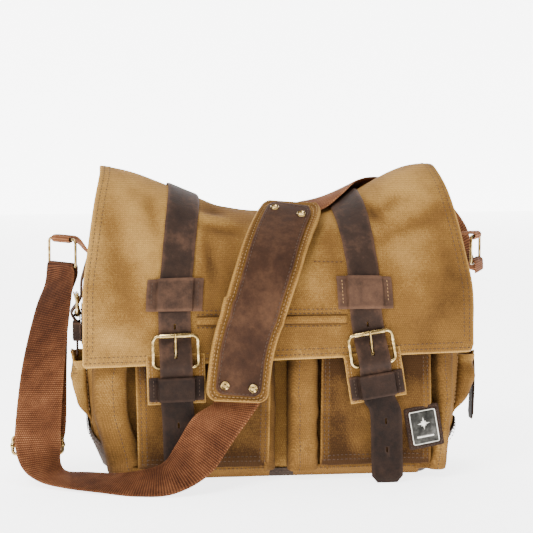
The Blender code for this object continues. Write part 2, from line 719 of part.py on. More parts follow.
def flat_rows(knots):
    """Rows of points across a strap at (centre, rough side direction) knots."""
    rows = []
    for i, (centre, side) in enumerate(knots):
        along = (knots[min(i + 1, len(knots) - 1)][0] - knots[max(i - 1, 0)][0]).normalized()
        across = (side - along * side.dot(along)).normalized()
        rows.append([centre + across * u for u in WEB_COLUMNS])
    return rows


def half_turn(bar, side, radius):
    """Knots over a bar that lies along X, from its back to its front."""
    angles = [math.radians(180 * k / 6) for k in range(7)]
    return [(bar + radius * Vector((0, math.cos(a), math.sin(a))), side) for a in angles]


def scaled(knots):
    return [(Vector(p) * MM, Vector(w)) for p, w in knots]


def webbing_rows():
    """The strap from its sewn end at the slider, through the left ring, to the right ring."""
    left_bar = Vector((-RING_X, HINGE_Y, HINGE_Z - RING_DROP))
    right_bar = Vector((RING_X, HINGE_Y, HINGE_Z - RING_DROP))
    loop = RING_WIRE + WEB_T / 2 + 1.3 * MM
    flat = (-1, 0, 0)
    left = scaled((
        ((-207, -27.0, 30), flat), ((-206, -15, 48), flat), ((-203, 15, 98), flat),
        ((-197, 47, 148), flat), ((-192.5, 61.3, 169), flat),
    ))
    left += half_turn(left_bar, Vector(flat), loop)
    left += scaled((
        ((-193.5, 52, 168), flat), ((-198, 34, 146), flat), ((-204, 2, 96), flat),
        ((-207, -32, 48), flat), ((-207.5, -42, 29), flat),
        ((-204, -50, 15), (-0.86, -0.50, 0.05)), ((-194, -59, 7), (-0.48, -0.87, -0.10)),
        ((-174, -72, 6), (-0.26, -0.95, -0.17)), ((-147, -89, 6.5), (-0.20, -0.95, -0.22)),
        ((-121, -101, 8.5), (0.0, -0.93, -0.36)), ((-98, -108, 13.5), (0.17, -0.84, -0.52)),
        ((-78, -106, 28), (0.52, -0.50, -0.69)), ((-60, -99, 52), (0.78, -0.14, -0.60)),
        ((-45, -86, 76), (0.86, 0.0, -0.50)),
    ))
    rows = flat_rows(left)[:-1]
    for share in (1.02, 0.97, 0.85, 0.7, 0.55, 0.4, 0.3, 0.2, 0.1, 0.02):
        t, x, lean = pad_station(share)
        rows.append([on_surface(t, x, u, 2.8 * MM, lean) for u in WEB_COLUMNS])
    over_ridge = ((36, 0.50, 4.8, 38), (54, 0.41, 5.6, 54), (76, 0.29, 6.6, 62), (102, 0.17, 6.6, 62))
    for x, t, d, lean in over_ridge:
        rows.append([on_surface(t, x * MM, u, d * MM, math.radians(lean)) for u in WEB_COLUMNS])
    right = scaled((
        ((102, 69, 237), (0.47, 0.05, 0.88)),
        ((136, 70, 231), (0.52, 0.05, 0.85)), ((163, 74, 223), (0.70, 0.0, 0.71)),
        ((185, 76, 204), (0.93, 0.0, 0.35)), ((191.5, 75, 185), (1, 0, 0)), ((192, 69, 169.5), (1, 0, 0)),
        ((192, 61.8, 172), (1, 0, 0)),
    ))
    right += half_turn(right_bar, Vector((1, 0, 0)), loop)
    right.append((right_bar + Vector((0, -loop, -8 * MM)), Vector((1, 0, 0))))
    return rows + flat_rows(right)[1:]


def thick_sheet(name, rows, thickness, key, origin):
    """A sheet of even thickness about a grid of points."""
    outer, inner = [], []
    for r, row in enumerate(rows):
        row_out, row_in = [], []
        for c, point in enumerate(row):
            along = rows[min(r + 1, len(rows) - 1)][c] - rows[max(r - 1, 0)][c]
            across = row[min(c + 1, len(row) - 1)] - row[max(c - 1, 0)]
            out = along.cross(across).normalized() * thickness / 2
            row_out.append(point + out)
            row_in.append(point - out)
        outer.append(row_out)
        inner.append(row_in)
    return slab(name, outer, inner, key, origin)


def build_webbing():
    """The strap as one ribbon, smoothed along its length."""
    columns = [smooth_path(column, 2) for column in zip(*webbing_rows())]
    rows = [list(row) for row in zip(*columns)]
    thick_sheet("shoulder_webbing", rows, WEB_T, "webbing", (0, HINGE_Y, HINGE_Z))


def build_ring(side, sign):
    """The rectangular ring and the tab that holds its upper bar to the bag's end."""
    middle = Vector((sign * RING_X, HINGE_Y, HINGE_Z - RING_DROP / 2))
    outline = rounded_rectangle(RING_HALF_W, RING_DROP / 2, 4 * MM, 3)
    tube("strap_ring_" + side, [middle + Vector((u, 0, v)) for u, v in outline], (0, 1, 0), RING_WIRE,
         "brass", origin=(0, HINGE_Y, HINGE_Z))
    near, far = RING_WIRE + 0.4 * MM, RING_WIRE + 2.4 * MM
    low_x, high_x = RING_X - TAB_W / 2, RING_X + TAB_W / 2
    rings = []
    for x, r in ((low_x, far), (high_x, far), (high_x, near), (low_x, near)):
        rings.append([(sign * x, HINGE_Y + r * math.cos(a), HINGE_Z + r * math.sin(a))
                      for a in (2 * math.pi * k / 16 for k in range(16))])
    tab = sweep("ring_tab_" + side, rings, "webbing", True)
    wing = ((158.5 * MM, 14 * MM), (169 * MM, 14 * MM), (169 * MM, 53 * MM), (high_x, 53 * MM),
            (high_x, 60 * MM), (158.5 * MM, 60 * MM))
    levels = (HINGE_Z + near + 0.4 * MM, HINGE_Z + far + 0.2 * MM)
    plate = sweep("tab_wing", [[(sign * x, y, z) for x, y in wing] for z in levels], "webbing")
    boolean(tab, plate, "UNION")


def build_slider():
    """The three-bar slide at the low end of the hanging strap."""
    centre = Vector((-207.5, -33.5, 30)) * MM
    down = Vector((0, -0.50, -0.87)).normalized()
    side = Vector((1, 0, 0))
    radius = 1.4 * MM
    half_w, half_h = 21.5 * MM, 8 * MM
    outline = rounded_rectangle(half_w, half_h, 3 * MM, 3)
    tube("slider", [centre + side * u + down * v for u, v in outline], side.cross(down), radius,
         "brass", origin=(0, HINGE_Y, HINGE_Z))


def build():
    for obj in list(bpy.data.objects):
        bpy.data.objects.remove(obj)
    body_shell("bag_body", 0.0, CANVAS, "canvas")
    body_shell("lining", CANVAS + LINING_EASE, LINING, "lining")
    build_base()
    build_flap()
    build_welt()
    build_pockets()
    build_badge()
    for side, sign in (("left", -1), ("right", 1)):
        build_front_set(side)
        build_side_set(side, sign)
        build_ring(side, sign)
    build_pad()
    build_webbing()
    build_slider()


build()
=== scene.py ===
import math

import bmesh
import bpy
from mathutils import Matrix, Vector, noise


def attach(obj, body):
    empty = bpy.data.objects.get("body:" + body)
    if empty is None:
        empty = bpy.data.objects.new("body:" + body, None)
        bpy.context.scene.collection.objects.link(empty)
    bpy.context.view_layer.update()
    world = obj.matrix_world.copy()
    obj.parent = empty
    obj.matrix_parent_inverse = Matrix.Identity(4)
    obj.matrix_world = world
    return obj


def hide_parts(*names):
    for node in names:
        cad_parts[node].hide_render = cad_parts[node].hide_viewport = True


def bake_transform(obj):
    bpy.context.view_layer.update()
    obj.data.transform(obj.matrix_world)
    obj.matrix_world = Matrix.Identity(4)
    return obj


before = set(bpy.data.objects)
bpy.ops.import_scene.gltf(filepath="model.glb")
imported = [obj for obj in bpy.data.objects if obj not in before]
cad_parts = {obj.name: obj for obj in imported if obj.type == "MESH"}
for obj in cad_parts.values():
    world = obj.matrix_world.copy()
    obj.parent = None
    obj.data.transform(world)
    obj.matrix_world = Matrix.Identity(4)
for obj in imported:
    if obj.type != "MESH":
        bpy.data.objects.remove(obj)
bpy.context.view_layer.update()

MM = 0.001
FORWARD = (0, -1, 0)
UP = Vector((0, 0, 1))

# Main sizes; most repeat the CAD model's
BODY_FOOT_Z = 2.3 * MM
BODY_RIM_Z = 216 * MM
TRAY_LOW = 8 * MM
TRAY_CORNER_RISE = 49 * MM
FLAP_T = 1.7 * MM
FLAP_HALF_W = 171 * MM
RIDGE_HALF_W = 150 * MM
RIDGE_Z = 231 * MM
EAR_RISE = 40 * MM
VALLEY_X = -8 * MM
VALLEY_HALF = 152 * MM
RIGHT_SLOPE = 1.8
FRONT_Y = -81.5 * MM
STRAIGHT_Z = 150 * MM
FLAP_BOTTOM_Z = 108 * MM
FLAP_SKEW = 4.5 * MM
HINGE_Y = 57.5 * MM
HINGE_Z = 203.5 * MM
WIRE = 1.4 * MM
ROLLER_R = 2.2 * MM
PRONG_R = 1.0 * MM
CHAPE_GAP = 0.25 * MM
PRONG_CLEAR = 0.9 * MM
BUCKLE_D = 5.2 * MM
STRAP_T = 2.2 * MM
STRAP_D = 1.6 * MM
FRONT_HALF = 13 * MM
SIDE_HALF = 8 * MM
WEB_W = 38 * MM
WEB_T = 1.8 * MM
RING_HALF_W = 20.7 * MM
RING_DROP = 25.5 * MM
RING_WIRE = 1.3 * MM
PAD_HALF_W = 27 * MM
PAD_LENGTH = 167 * MM
LINING_OUT = 4.8 * MM
LINING_IN = 5.8 * MM
BUCKLE_Z = 117 * MM
SIDE_SET_X = 166.5 * MM
SIDE_SET_Z = 150 * MM
POCKET_FACE_Y = -78.0 * MM
RING_TAB_T = 2.0 * MM
RING_CLEAR = 1.3 * MM
SNAP_Z_BELOW_BUCKLE = 31 * MM
SLIDE_HALF_W = 21.5 * MM
SLIDE_HALF_H = 8 * MM
LEATHER_SHARE = 0.92  # how much of its nominal thickness a leather sheet fills


# ---------------------------------------------------------------- materials

def start_material(name, roughness, metallic=0.0):
    """A new material, its node tree and its main shader."""
    made = bpy.data.materials.new(name)
    made.use_nodes = True
    shader = made.node_tree.nodes["Principled BSDF"]
    shader.inputs["Roughness"].default_value = roughness
    shader.inputs["Metallic"].default_value = metallic
    return made, made.node_tree, shader


def node(tree, kind, inputs=None, **settings):
    """A new node with its settings, and with its inputs set or linked."""
    made = tree.nodes.new(kind)
    for key, value in settings.items():
        setattr(made, key, value)
    for key, value in (inputs or {}).items():
        if isinstance(value, bpy.types.NodeSocket):
            tree.links.new(value, made.inputs[key])
        else:
            made.inputs[key].default_value = value
    return made


def noise_node(tree, vector, scale, detail, rough):
    return node(tree, "ShaderNodeTexNoise", {"Vector": vector, "Scale": scale, "Detail": detail,
                                             "Roughness": rough}).outputs["Fac"]


def ramp(tree, fac, stops):
    made = node(tree, "ShaderNodeValToRGB", {"Fac": fac})
    band = made.color_ramp
    while len(band.elements) < len(stops):
        band.elements.new(0.5)
    for element, (place, colour) in zip(band.elements, stops):
        element.position = place
        element.color = (*colour, 1.0)
    return made.outputs["Color"]


def calc(tree, operation, a, b=0.0, c=0.0):
    return node(tree, "ShaderNodeMath", {0: a, 1: b, 2: c}, operation=operation).outputs[0]


def multiply_colours(tree, fac, a, b):
    """Colour a multiplied by colour b, to a share fac."""
    return node(tree, "ShaderNodeMix", {"Factor": fac, 6: a, 7: b}, data_type="RGBA",
                blend_type="MULTIPLY").outputs[2]


def attribute(tree, name):
    return node(tree, "ShaderNodeAttribute", attribute_name=name).outputs["Fac"]


def band_height(tree, coordinate, period):
    """A row of rounded ribs along one coordinate, from 0 to 1."""
    turned = calc(tree, "MULTIPLY", coordinate, 2 * math.pi / period)
    return calc(tree, "MULTIPLY_ADD", calc(tree, "SINE", turned), 0.5, 0.5)


def place_axes(tree):
    """Object position, and its parts."""
    spot = node(tree, "ShaderNodeTexCoord").outputs["Object"]
    parts = node(tree, "ShaderNodeSeparateXYZ", {"Vector": spot})
    return spot, parts.outputs[0], parts.outputs[1], parts.outputs[2]


def add_bump(tree, shader, height, strength, distance):
    made = node(tree, "ShaderNodeBump", {"Height": height, "Strength": strength, "Distance": distance})
    tree.links.new(made.outputs["Normal"], shader.inputs["Normal"])


def canvas_material(name, dark, middle, light):
    """Brushed waxed canvas: mottled colour and a fine plain weave; its tone attribute adds pale worn edges
    and painted light and shade, such as dark creases.
    """
    made, tree, shader = start_material(name, 0.9)
    spot, x, y, z = place_axes(tree)
    cloud = noise_node(tree, spot, 9.0, 3.0, 0.6)
    patch = noise_node(tree, spot, 55.0, 5.0, 0.65)
    grain = noise_node(tree, spot, 800.0, 2.0, 0.6)
    tone = calc(tree, "MULTIPLY_ADD", patch, 0.26, calc(tree, "MULTIPLY_ADD", cloud, 0.34, 0.22))
    tone = calc(tree, "ADD", tone, calc(tree, "MULTIPLY_ADD", grain, 0.34, -0.19))
    # the tone attribute carries edge wear together with painted light and shade set on each point
    tone = calc(tree, "ADD", tone, attribute(tree, "tone"))
    colour = ramp(tree, tone, ((0.18, dark), (0.52, middle), (0.86, light)))
    across = calc(tree, "ADD", x, y)
    warp = band_height(tree, calc(tree, "MULTIPLY_ADD", z, 0.45, across), 1.7 * MM)
    weft = band_height(tree, z, 1.55 * MM)
    weave = calc(tree, "MULTIPLY", warp, weft)
    shade = ramp(tree, weave, ((0.0, (0.66, 0.62, 0.56)), (1.0, (1.22, 1.20, 1.15))))
    colour = multiply_colours(tree, 0.75, colour, shade)
    tree.links.new(colour, shader.inputs["Base Color"])
    shader.inputs["Specular IOR Level"].default_value = 0.08
    height = calc(tree, "ADD", calc(tree, "MULTIPLY", weave, 0.5), calc(tree, "MULTIPLY", grain, 0.7))
    height = calc(tree, "ADD", height, calc(tree, "MULTIPLY", patch, 1.2))
    add_bump(tree, shader, height, 0.55, 0.6 * MM)
    return made


def leather_material(name, dark, middle, light, roughness, grain_scale, depth):
    """Oiled leather with pull-up marks, pores and rubbed edges."""
    made, tree, shader = start_material(name, roughness)
    spot = place_axes(tree)[0]
    cloud = noise_node(tree, spot, 26.0, 5.0, 0.62)
    scuff = noise_node(tree, spot, 150.0, 6.0, 0.7)
    pores = node(tree, "ShaderNodeTexVoronoi", {"Vector": spot, "Scale": grain_scale}).outputs["Distance"]
    fine = noise_node(tree, spot, grain_scale * 1.7, 3.0, 0.6)
    tone = calc(tree, "MULTIPLY_ADD", scuff, 0.5, calc(tree, "MULTIPLY", cloud, 0.6))
    tone = calc(tree, "ADD", tone, attribute(tree, "tone"))
    colour = ramp(tree, tone, ((0.30, dark), (0.56, middle), (0.90, light)))
    tree.links.new(colour, shader.inputs["Base Color"])
    gloss = calc(tree, "MULTIPLY_ADD", scuff, 0.3, roughness - 0.16)
    tree.links.new(gloss, shader.inputs["Roughness"])
    shader.inputs["Specular IOR Level"].default_value = 0.12
    height = calc(tree, "ADD", calc(tree, "MULTIPLY", pores, 0.8), calc(tree, "MULTIPLY", fine, 0.6))
    height = calc(tree, "ADD", height, calc(tree, "MULTIPLY", scuff, 0.6))
    add_bump(tree, shader, height, 0.5, depth)
    return made


def webbing_material():
    """Coarse cotton webbing: short ribs in staggered rows, with a paler selvedge."""
    made, tree, shader = start_material("webbing_weave", 0.92)
    spot = place_axes(tree)[0]
    flat = node(tree, "ShaderNodeUVMap", uv_map="strap").outputs["UV"]
    parts = node(tree, "ShaderNodeSeparateXYZ", {"Vector": flat})
    along, across = parts.outputs[0], parts.outputs[1]
    rib, pitch = 1.9 * MM, 1.7 * MM
    row = calc(tree, "FLOOR", calc(tree, "DIVIDE", along, rib))
    stagger = calc(tree, "MULTIPLY_ADD", row, pitch * 0.5, across)
    ribs = band_height(tree, along, rib)
    knots = band_height(tree, stagger, pitch)
    weave = calc(tree, "MULTIPLY", calc(tree, "POWER", ribs, 0.7),
                 calc(tree, "MULTIPLY_ADD", knots, 0.6, 0.4))
    patch = noise_node(tree, spot, 70.0, 5.0, 0.65)
    fuzz = noise_node(tree, spot, 1300.0, 2.0, 0.7)
    tone = calc(tree, "MULTIPLY_ADD", weave, 0.42, calc(tree, "MULTIPLY", patch, 0.5))
    tone = calc(tree, "ADD", tone, calc(tree, "MULTIPLY_ADD", fuzz, 0.3, -0.15))
    tone = calc(tree, "ADD", tone, attribute(tree, "tone"))
    colour = ramp(tree, tone, ((0.12, (0.024, 0.008, 0.004)), (0.50, (0.140, 0.050, 0.020)),
                               (0.92, (0.420, 0.200, 0.090))))
    tree.links.new(colour, shader.inputs["Base Color"])
    shader.inputs["Specular IOR Level"].default_value = 0.08
    add_bump(tree, shader, calc(tree, "ADD", weave, calc(tree, "MULTIPLY", fuzz, 0.3)), 0.6, 0.5 * MM)
    return made


def metal_material(name, dark, middle, light, roughness):
    """Cast metal with a worn patina."""
    made, tree, shader = start_material(name, roughness, 1.0)
    spot = place_axes(tree)[0]
    patina = noise_node(tree, spot, 160.0, 6.0, 0.65)
    pits = noise_node(tree, spot, 1400.0, 3.0, 0.6)
    colour = ramp(tree, patina, ((0.30, dark), (0.50, middle), (0.72, light)))
    tree.links.new(colour, shader.inputs["Base Color"])
    tree.links.new(calc(tree, "MULTIPLY_ADD", patina, -0.25, roughness + 0.12), shader.inputs["Roughness"])
    add_bump(tree, shader, calc(tree, "ADD", pits, patina), 0.12, 0.1 * MM)
    return made


def thread_material(name, colour):
    """Twisted thread."""
    made, tree, shader = start_material(name, 0.85)
    spot = place_axes(tree)[0]
    strand = noise_node(tree, spot, 2500.0, 2.0, 0.5)
    shades = tuple(c * 0.55 for c in colour), colour
    tree.links.new(ramp(tree, strand, ((0.3, shades[0]), (0.7, shades[1]))), shader.inputs["Base Color"])
    return made


MATERIALS = {
    "canvas": canvas_material("canvas_tan", (0.040, 0.0180, 0.0060), (0.172, 0.086, 0.0220),
                              (0.460, 0.270, 0.078)),
    "lining": canvas_material("canvas_lining", (0.05, 0.035, 0.02), (0.11, 0.08, 0.05), (0.17, 0.13, 0.08)),
    "strap_leather": leather_material("leather_strap", (0.008, 0.0040, 0.0024), (0.026, 0.0135, 0.0085),
                                      (0.098, 0.049, 0.028), 0.72, 700.0, 0.35 * MM),
    "base_leather": leather_material("leather_base_panel", (0.014, 0.0085, 0.0055), (0.036, 0.022, 0.0145),
                                     (0.095, 0.060, 0.040), 0.70, 600.0, 0.4 * MM),
    "pad_leather": leather_material("leather_pad", (0.010, 0.0038, 0.0018), (0.034, 0.0145, 0.0070),
                                    (0.098, 0.046, 0.022), 0.80, 900.0, 0.35 * MM),
    "webbing": webbing_material(),
    "brass": metal_material("brass_antique", (0.09, 0.055, 0.02), (0.34, 0.23, 0.085),
                            (0.80, 0.62, 0.32), 0.25),
    "badge_metal": metal_material("badge_pewter", (0.020, 0.019, 0.017), (0.050, 0.048, 0.043),
                                  (0.110, 0.105, 0.095), 0.55),
    "badge_rim": metal_material("badge_bright_rim", (0.35, 0.33, 0.28), (0.60, 0.57, 0.50),
                                (0.80, 0.77, 0.70), 0.35),
    "thread_tan": thread_material("thread_ochre", (0.36, 0.20, 0.075)),
    "thread_dark": thread_material("thread_dark_brown", (0.055, 0.028, 0.014)),
}
SLOTS = {"badge_rim": "badge_metal", "thread_tan": "canvas", "thread_dark": "strap_leather"}


# ---------------------------------------------------------------- mesh helpers

def ease(f):
    """A smooth step from 0 to 1 as f runs from 0 to 1."""
    f = min(max(f, 0.0), 1.0)
    return f * f * (3 - 2 * f)


def knot_value(t, knots, curve=ease):
    """The values at t through (position, value, ...) knots."""
    for left, right in zip(knots, knots[1:]):
        if t <= right[0]:
            break
    f = curve(min(max((t - left[0]) / (right[0] - left[0]), 0.0), 1.0))
    return tuple(a + (b - a) * f for a, b in zip(left[1:], right[1:]))


def straight(f):
    return f


def spline(a, b, c, d, f):
    """The point at a share f of the way from b to c, on a smooth curve through all four."""
    return 0.5 * (2 * b + (c - a) * f + (2 * a - 5 * b + 4 * c - d) * f * f
                  + (3 * b - a - 3 * c + d) * f ** 3)


def smooth_path(points, per_span):
    """A smooth curve through points, with per_span steps from each to the next."""
    pts = [Vector(p) for p in points]
    ends = [pts[0] * 2 - pts[1]] + pts + [pts[-1] * 2 - pts[-2]]
    out = []
    for k in range(1, len(ends) - 2):
        out += [spline(*ends[k - 1:k + 3], step / per_span) for step in range(per_span)]
    return out + [pts[-1]]


def running_lengths(points):
    """The distance along a polyline to each of its points."""
    lengths = [0.0]
    for a, b in zip(points, points[1:]):
        lengths.append(lengths[-1] + (b - a).length)
    return lengths


def circle(sides):
    """Angles evenly spaced around a circle."""
    return [2 * math.pi * k / sides for k in range(sides)]


def circle_points(centre, radius, across, up, sides):
    """Points around a circle that lies along two directions."""
    return [centre + radius * (across * math.cos(a) + up * math.sin(a)) for a in circle(sides)]


def wobble(point, scale, seed=0.0):
    """Smooth noise from -1 to 1 at a point; scale is in waves per metre."""
    return noise.noise(Vector(point) * scale + Vector((seed, seed * 1.7, -seed)))


def face_outward(mesh):
    """Turn a closed mesh's faces to look outwards."""
    bm = bmesh.new()
    bm.from_mesh(mesh)
    bmesh.ops.recalc_face_normals(bm, faces=bm.faces)
    bm.to_mesh(mesh)
    bm.free()


def add_object(name, data):
    """A new object in the scene."""
    obj = bpy.data.objects.new(name, data)
    bpy.context.scene.collection.objects.link(obj)
    return obj


def new_piece(name, verts, faces, key, body, replaced=(), tones=None, uvs=None, smooth=True):
    """A mesh piece that rides on a body, or on none.

    key names its material; tones lightens or darkens each point.
    """
    mesh = bpy.data.meshes.new(name)
    mesh.from_pydata([tuple(v) for v in verts], [], faces)
    if uvs:
        layer = mesh.uv_layers.new(name="strap")
        for loop in mesh.loops:
            layer.data[loop.index].uv = uvs[loop.vertex_index]
    values = mesh.attributes.new("tone", "FLOAT", "POINT")
    if tones:
        values.data.foreach_set("value", tones)
    face_outward(mesh)
    if smooth:
        mesh.shade_smooth()
        mesh.set_sharp_from_angle(angle=math.radians(50))
    mesh.materials.append(MATERIALS[key])
    obj = add_object(name, mesh)
    if body:
        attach(obj, body)
    if replaced:
        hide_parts(*replaced)
    SLOTS.get(key, key)
    return obj


def skin_faces(count, width):
    """Quads of a front grid of points, and of the back grid that follows it."""
    faces = []
    size = count * width
    for r in range(count - 1):
        for c in range(width - 1):
            a = r * width + c
            faces.append((a, a + 1, a + width + 1, a + width))
            faces.append((size + a, size + a + width, size + a + width + 1, size + a + 1))
    return faces


def grid_border(count, width):
    """Row and column of each point around a grid's edge, in order."""
    border = [(0, c) for c in range(width)] + [(r, width - 1) for r in range(1, count)]
    border += [(count - 1, c) for c in range(width - 2, -1, -1)]
    return border + [(r, 0) for r in range(count - 2, 0, -1)]


def sheet(name, rows, thickness, key, body, replaced=(), tone=None, uv=None, edge=0.35):
    """A cloth or leather sheet with rounded edges about a grid of points.

    tone(r, c) gives each point's shade and uv(r, c) its place on the weave.
    """
    count, width = len(rows), len(rows[0])
    outward = []
    for r in range(count):
        line = []
        for c in range(width):
            along = rows[min(r + 1, count - 1)][c] - rows[max(r - 1, 0)][c]
            across = rows[r][min(c + 1, width - 1)] - rows[r][max(c - 1, 0)]
            line.append(along.cross(across).normalized())
        outward.append(line)
    verts, tones, uvs = [], [], []
    for share in (0.5, -0.5):
        for r in range(count):
            for c in range(width):
                rim = r in (0, count - 1) or c in (0, width - 1)
                reach = share * thickness * ((1 - edge) if rim else 1.0)
                verts.append(rows[r][c] + outward[r][c] * reach)
                tones.append(tone(r, c) if tone else 0.0)
                if uv:
                    uvs.append(uv(r, c))
    faces = skin_faces(count, width)
    border = grid_border(count, width)
    middle = []
    for r, c in border:
        back = rows[r][c] * 2 - rows[min(max(r, 1), count - 2)][min(max(c, 1), width - 2)]
        push = (back - rows[r][c]).normalized() * thickness * edge
        middle.append(len(verts))
        verts.append(rows[r][c] + push)
        tones.append((tone(r, c) if tone else 0.0) + 0.05)
        if uv:
            uvs.append(uv(r, c))
    size = count * width
    for k, (r, c) in enumerate(border):
        r2, c2 = border[(k + 1) % len(border)]
        a, b = r * width + c, r2 * width + c2
        m, n = middle[k], middle[(k + 1) % len(border)]
        faces.append((a, m, n, b))
        faces.append((size + a, size + b, n, m))
    return new_piece(name, verts, faces, key, body, replaced, tones, uvs)


def declare_cloth(rows):
    """Measure a cloth sheet's longest row and column; the sizes are not used."""
    width = max(running_lengths(row)[-1] for row in rows)
    length = max(running_lengths(column)[-1] for column in zip(*rows))
    for upper, lower in zip(rows, rows[1:]):
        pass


def loft(name, rings, key, body, replaced=(), closed=False, tones=None, smooth=True):
    """A solid through equal closed rings, with flat ends unless it closes on itself."""
    count = len(rings[0])
    verts = [p for ring in rings for p in ring]
    faces = []
    for s in range(len(rings) if closed else len(rings) - 1):
        a, b = s * count, ((s + 1) % len(rings)) * count
        for i in range(count):
            j = (i + 1) % count
            faces.append((a + i, a + j, b + j, b + i))
    if not closed:
        faces.append(tuple(range(count)))
        faces.append(tuple(range(len(verts) - 1, len(verts) - count - 1, -1)))
    return new_piece(name, verts, faces, key, body, replaced, tones, smooth=smooth)


def wire(name, path, plane, radius, key, body, replaced=(), sides=16):
    """A closed loop of round wire along a path in one plane."""
    flat = Vector(plane).normalized()
    rings = []
    for i, point in enumerate(path):
        across = (path[(i + 1) % len(path)] - path[i - 1]).normalized().cross(flat).normalized()
        rings.append(circle_points(point, radius, across, flat, sides))
    return loft(name, rings, key, body, replaced, closed=True)


def rounded_rectangle(half_w, half_h, radius, arc_steps=8, steps=1):
    """The outline of a rounded rectangle, as (u, v) points from its right side anticlockwise."""
    corners = ((half_w, half_h, 0), (-half_w, half_h, 90), (-half_w, -half_h, 180), (half_w, -half_h, 270))
    arcs = []
    for u, v, start in corners:
        cu = u - math.copysign(radius, u)
        cv = v - math.copysign(radius, v)
        arcs.append([(cu + radius * math.cos(math.radians(start + 90 * k / arc_steps)),
                      cv + radius * math.sin(math.radians(start + 90 * k / arc_steps)))
                     for k in range(arc_steps + 1)])
    out = []
    for arc, following in zip(arcs, arcs[1:] + arcs[:1]):
        out += arc
        a, b = arc[-1], following[0]
        out += [(a[0] + (b[0] - a[0]) * k / steps, a[1] + (b[1] - a[1]) * k / steps)
                for k in range(1, steps)]
    return out


class Stitches:
    """Rows of raised stitches, gathered into one mesh for each body and thread."""

    def __init__(self, name, key, body, length=2.5 * MM, gap=1.1 * MM, radius=0.42 * MM):
        self.name, self.key, self.body = name, key, body
        self.length, self.gap, self.radius = length, gap, radius
        self.verts, self.faces = [], []

    def one(self, start, end, out):
        """One stitch: a short thick thread that narrows to both ends."""
        along = end - start
        across = along.cross(out).normalized()
        base = len(self.verts)
        for share, swell in ((0.0, 0.25), (0.22, 0.9), (0.5, 1.0), (0.78, 0.9), (1.0, 0.25)):
            self.verts += circle_points(start + along * share, self.radius * swell, across, out, 6)
        for s in range(4):
            for k in range(6):
                j = (k + 1) % 6
                a, b = base + s * 6, base + (s + 1) * 6
                self.faces.append((a + k, a + j, b + j, b + k))
        self.faces.append(tuple(base + k for k in range(6)))
        self.faces.append(tuple(base + 24 + k for k in range(5, -1, -1)))

    def row(self, path, out):
        """Stitches along a path; out(i) or a vector gives the way the cloth faces."""
        pts = [Vector(p) for p in path]
        lengths = running_lengths(pts)

        def at(distance):
            for i in range(1, len(pts)):
                if distance <= lengths[i] or i == len(pts) - 1:
                    f = (distance - lengths[i - 1]) / max(lengths[i] - lengths[i - 1], 1e-9)
                    facing = out(i) if callable(out) else Vector(out)
                    return pts[i - 1].lerp(pts[i], min(f, 1.0)), facing
            return pts[-1], Vector(FORWARD)

        step = self.length + self.gap
        for k in range(int(lengths[-1] / step)):
            start, facing = at(k * step)
            end, _ = at(k * step + self.length)
            if (end - start).length > 0.4 * self.length:
                self.one(start, end, facing.normalized())

    def build(self):
        new_piece(self.name, self.verts, self.faces, self.key, self.body)


# ---------------------------------------------------------------- plain shapes of the bag and flap

BODY_LEVELS = (
    # height, half width, half depth, centre y, share of the corner rise
    (BODY_FOOT_Z, 138 * MM, 46 * MM, 0.0, 0.0),
    (12 * MM, 149 * MM, 52 * MM, 0.0, 0.0),
    (40 * MM, 161 * MM, 54.5 * MM, 0.0, 0.0),
    (100 * MM, 165 * MM, 55 * MM, 0.0, 0.0),
    (160 * MM, 162 * MM, 52 * MM, 1 * MM, 0.3),
    (195 * MM, 156 * MM, 44 * MM, 5 * MM, 0.65),
    (BODY_RIM_Z, 148 * MM, 31 * MM, 12 * MM, 1.0),
)


def valley(x):
    """The rise of the bag's top, from 0 at the dip to 1 at its corners."""
    reach = min(abs(x - VALLEY_X) / VALLEY_HALF, 1.0)
    rise = 0.5 - 0.5 * math.cos(math.pi * reach)
    return rise if x < VALLEY_X else rise ** RIGHT_SLOPE


def ridge_height(x):
    return RIDGE_Z + EAR_RISE * valley(x)


def flap_profile(x):
    """The flap's outer face in the YZ plane at x: back seam, over the ridge, to the straight front."""
    top = ridge_height(x)
    return [(60.5 * MM, 204.5 * MM), (58 * MM, 204.5 * MM + 0.55 * (top - 204.5 * MM)),
            (36 * MM, top - 5 * MM), (2 * MM, top), (-38 * MM, top - 0.30 * (top - 190 * MM)),
            (-70 * MM, 190 * MM), (FRONT_Y, STRAIGHT_Z)]


def surface_point(x, t, d=0.0):
    """The point d outside the flap's outer face. t runs 0 to 1 over the top, 1 to 2 down the front."""
    if t >= 1.0:
        return Vector((x, FRONT_Y - d, STRAIGHT_Z * (2.0 - t)))
    knots = flap_profile(x)
    knots = [(2 * knots[0][0] - knots[1][0], 2 * knots[0][1] - knots[1][1])] + knots
    knots.append((FRONT_Y, STRAIGHT_Z - 35 * MM))
    place = max(t, 0.0) * (len(knots) - 3)
    k = min(int(place), len(knots) - 4)
    f = place - k
    a, b, c, e = (Vector((0, *p)) for p in knots[k:k + 4])
    point = spline(a, b, c, e, f)
    along = 0.5 * ((c - a) + 2 * (2 * a - 5 * b + 4 * c - e) * f + 3 * (3 * b - a - 3 * c + e) * f * f)
    out = Vector((0, along.z, -along.y)).normalized()
    return Vector((x, point.y + out.y * d, point.z + out.z * d))


def surface_normal(x, t):
    return (surface_point(x, t, 1.0) - surface_point(x, t, 0.0)).normalized()


def t_at(z):
    """The t of a height on the flap's straight front."""
    return 2.0 - z / STRAIGHT_Z


def flap_bottom(x):
    """The height of the flap's hem at x."""
    return FLAP_BOTTOM_Z + FLAP_SKEW * x / FLAP_HALF_W


def flap_half_width(t):
    return knot_value(t, ((0.0, 148 * MM), (0.5, RIDGE_HALF_W), (0.95, 168 * MM), (2.0, FLAP_HALF_W)))[0]


# ---------------------------------------------------------------- body

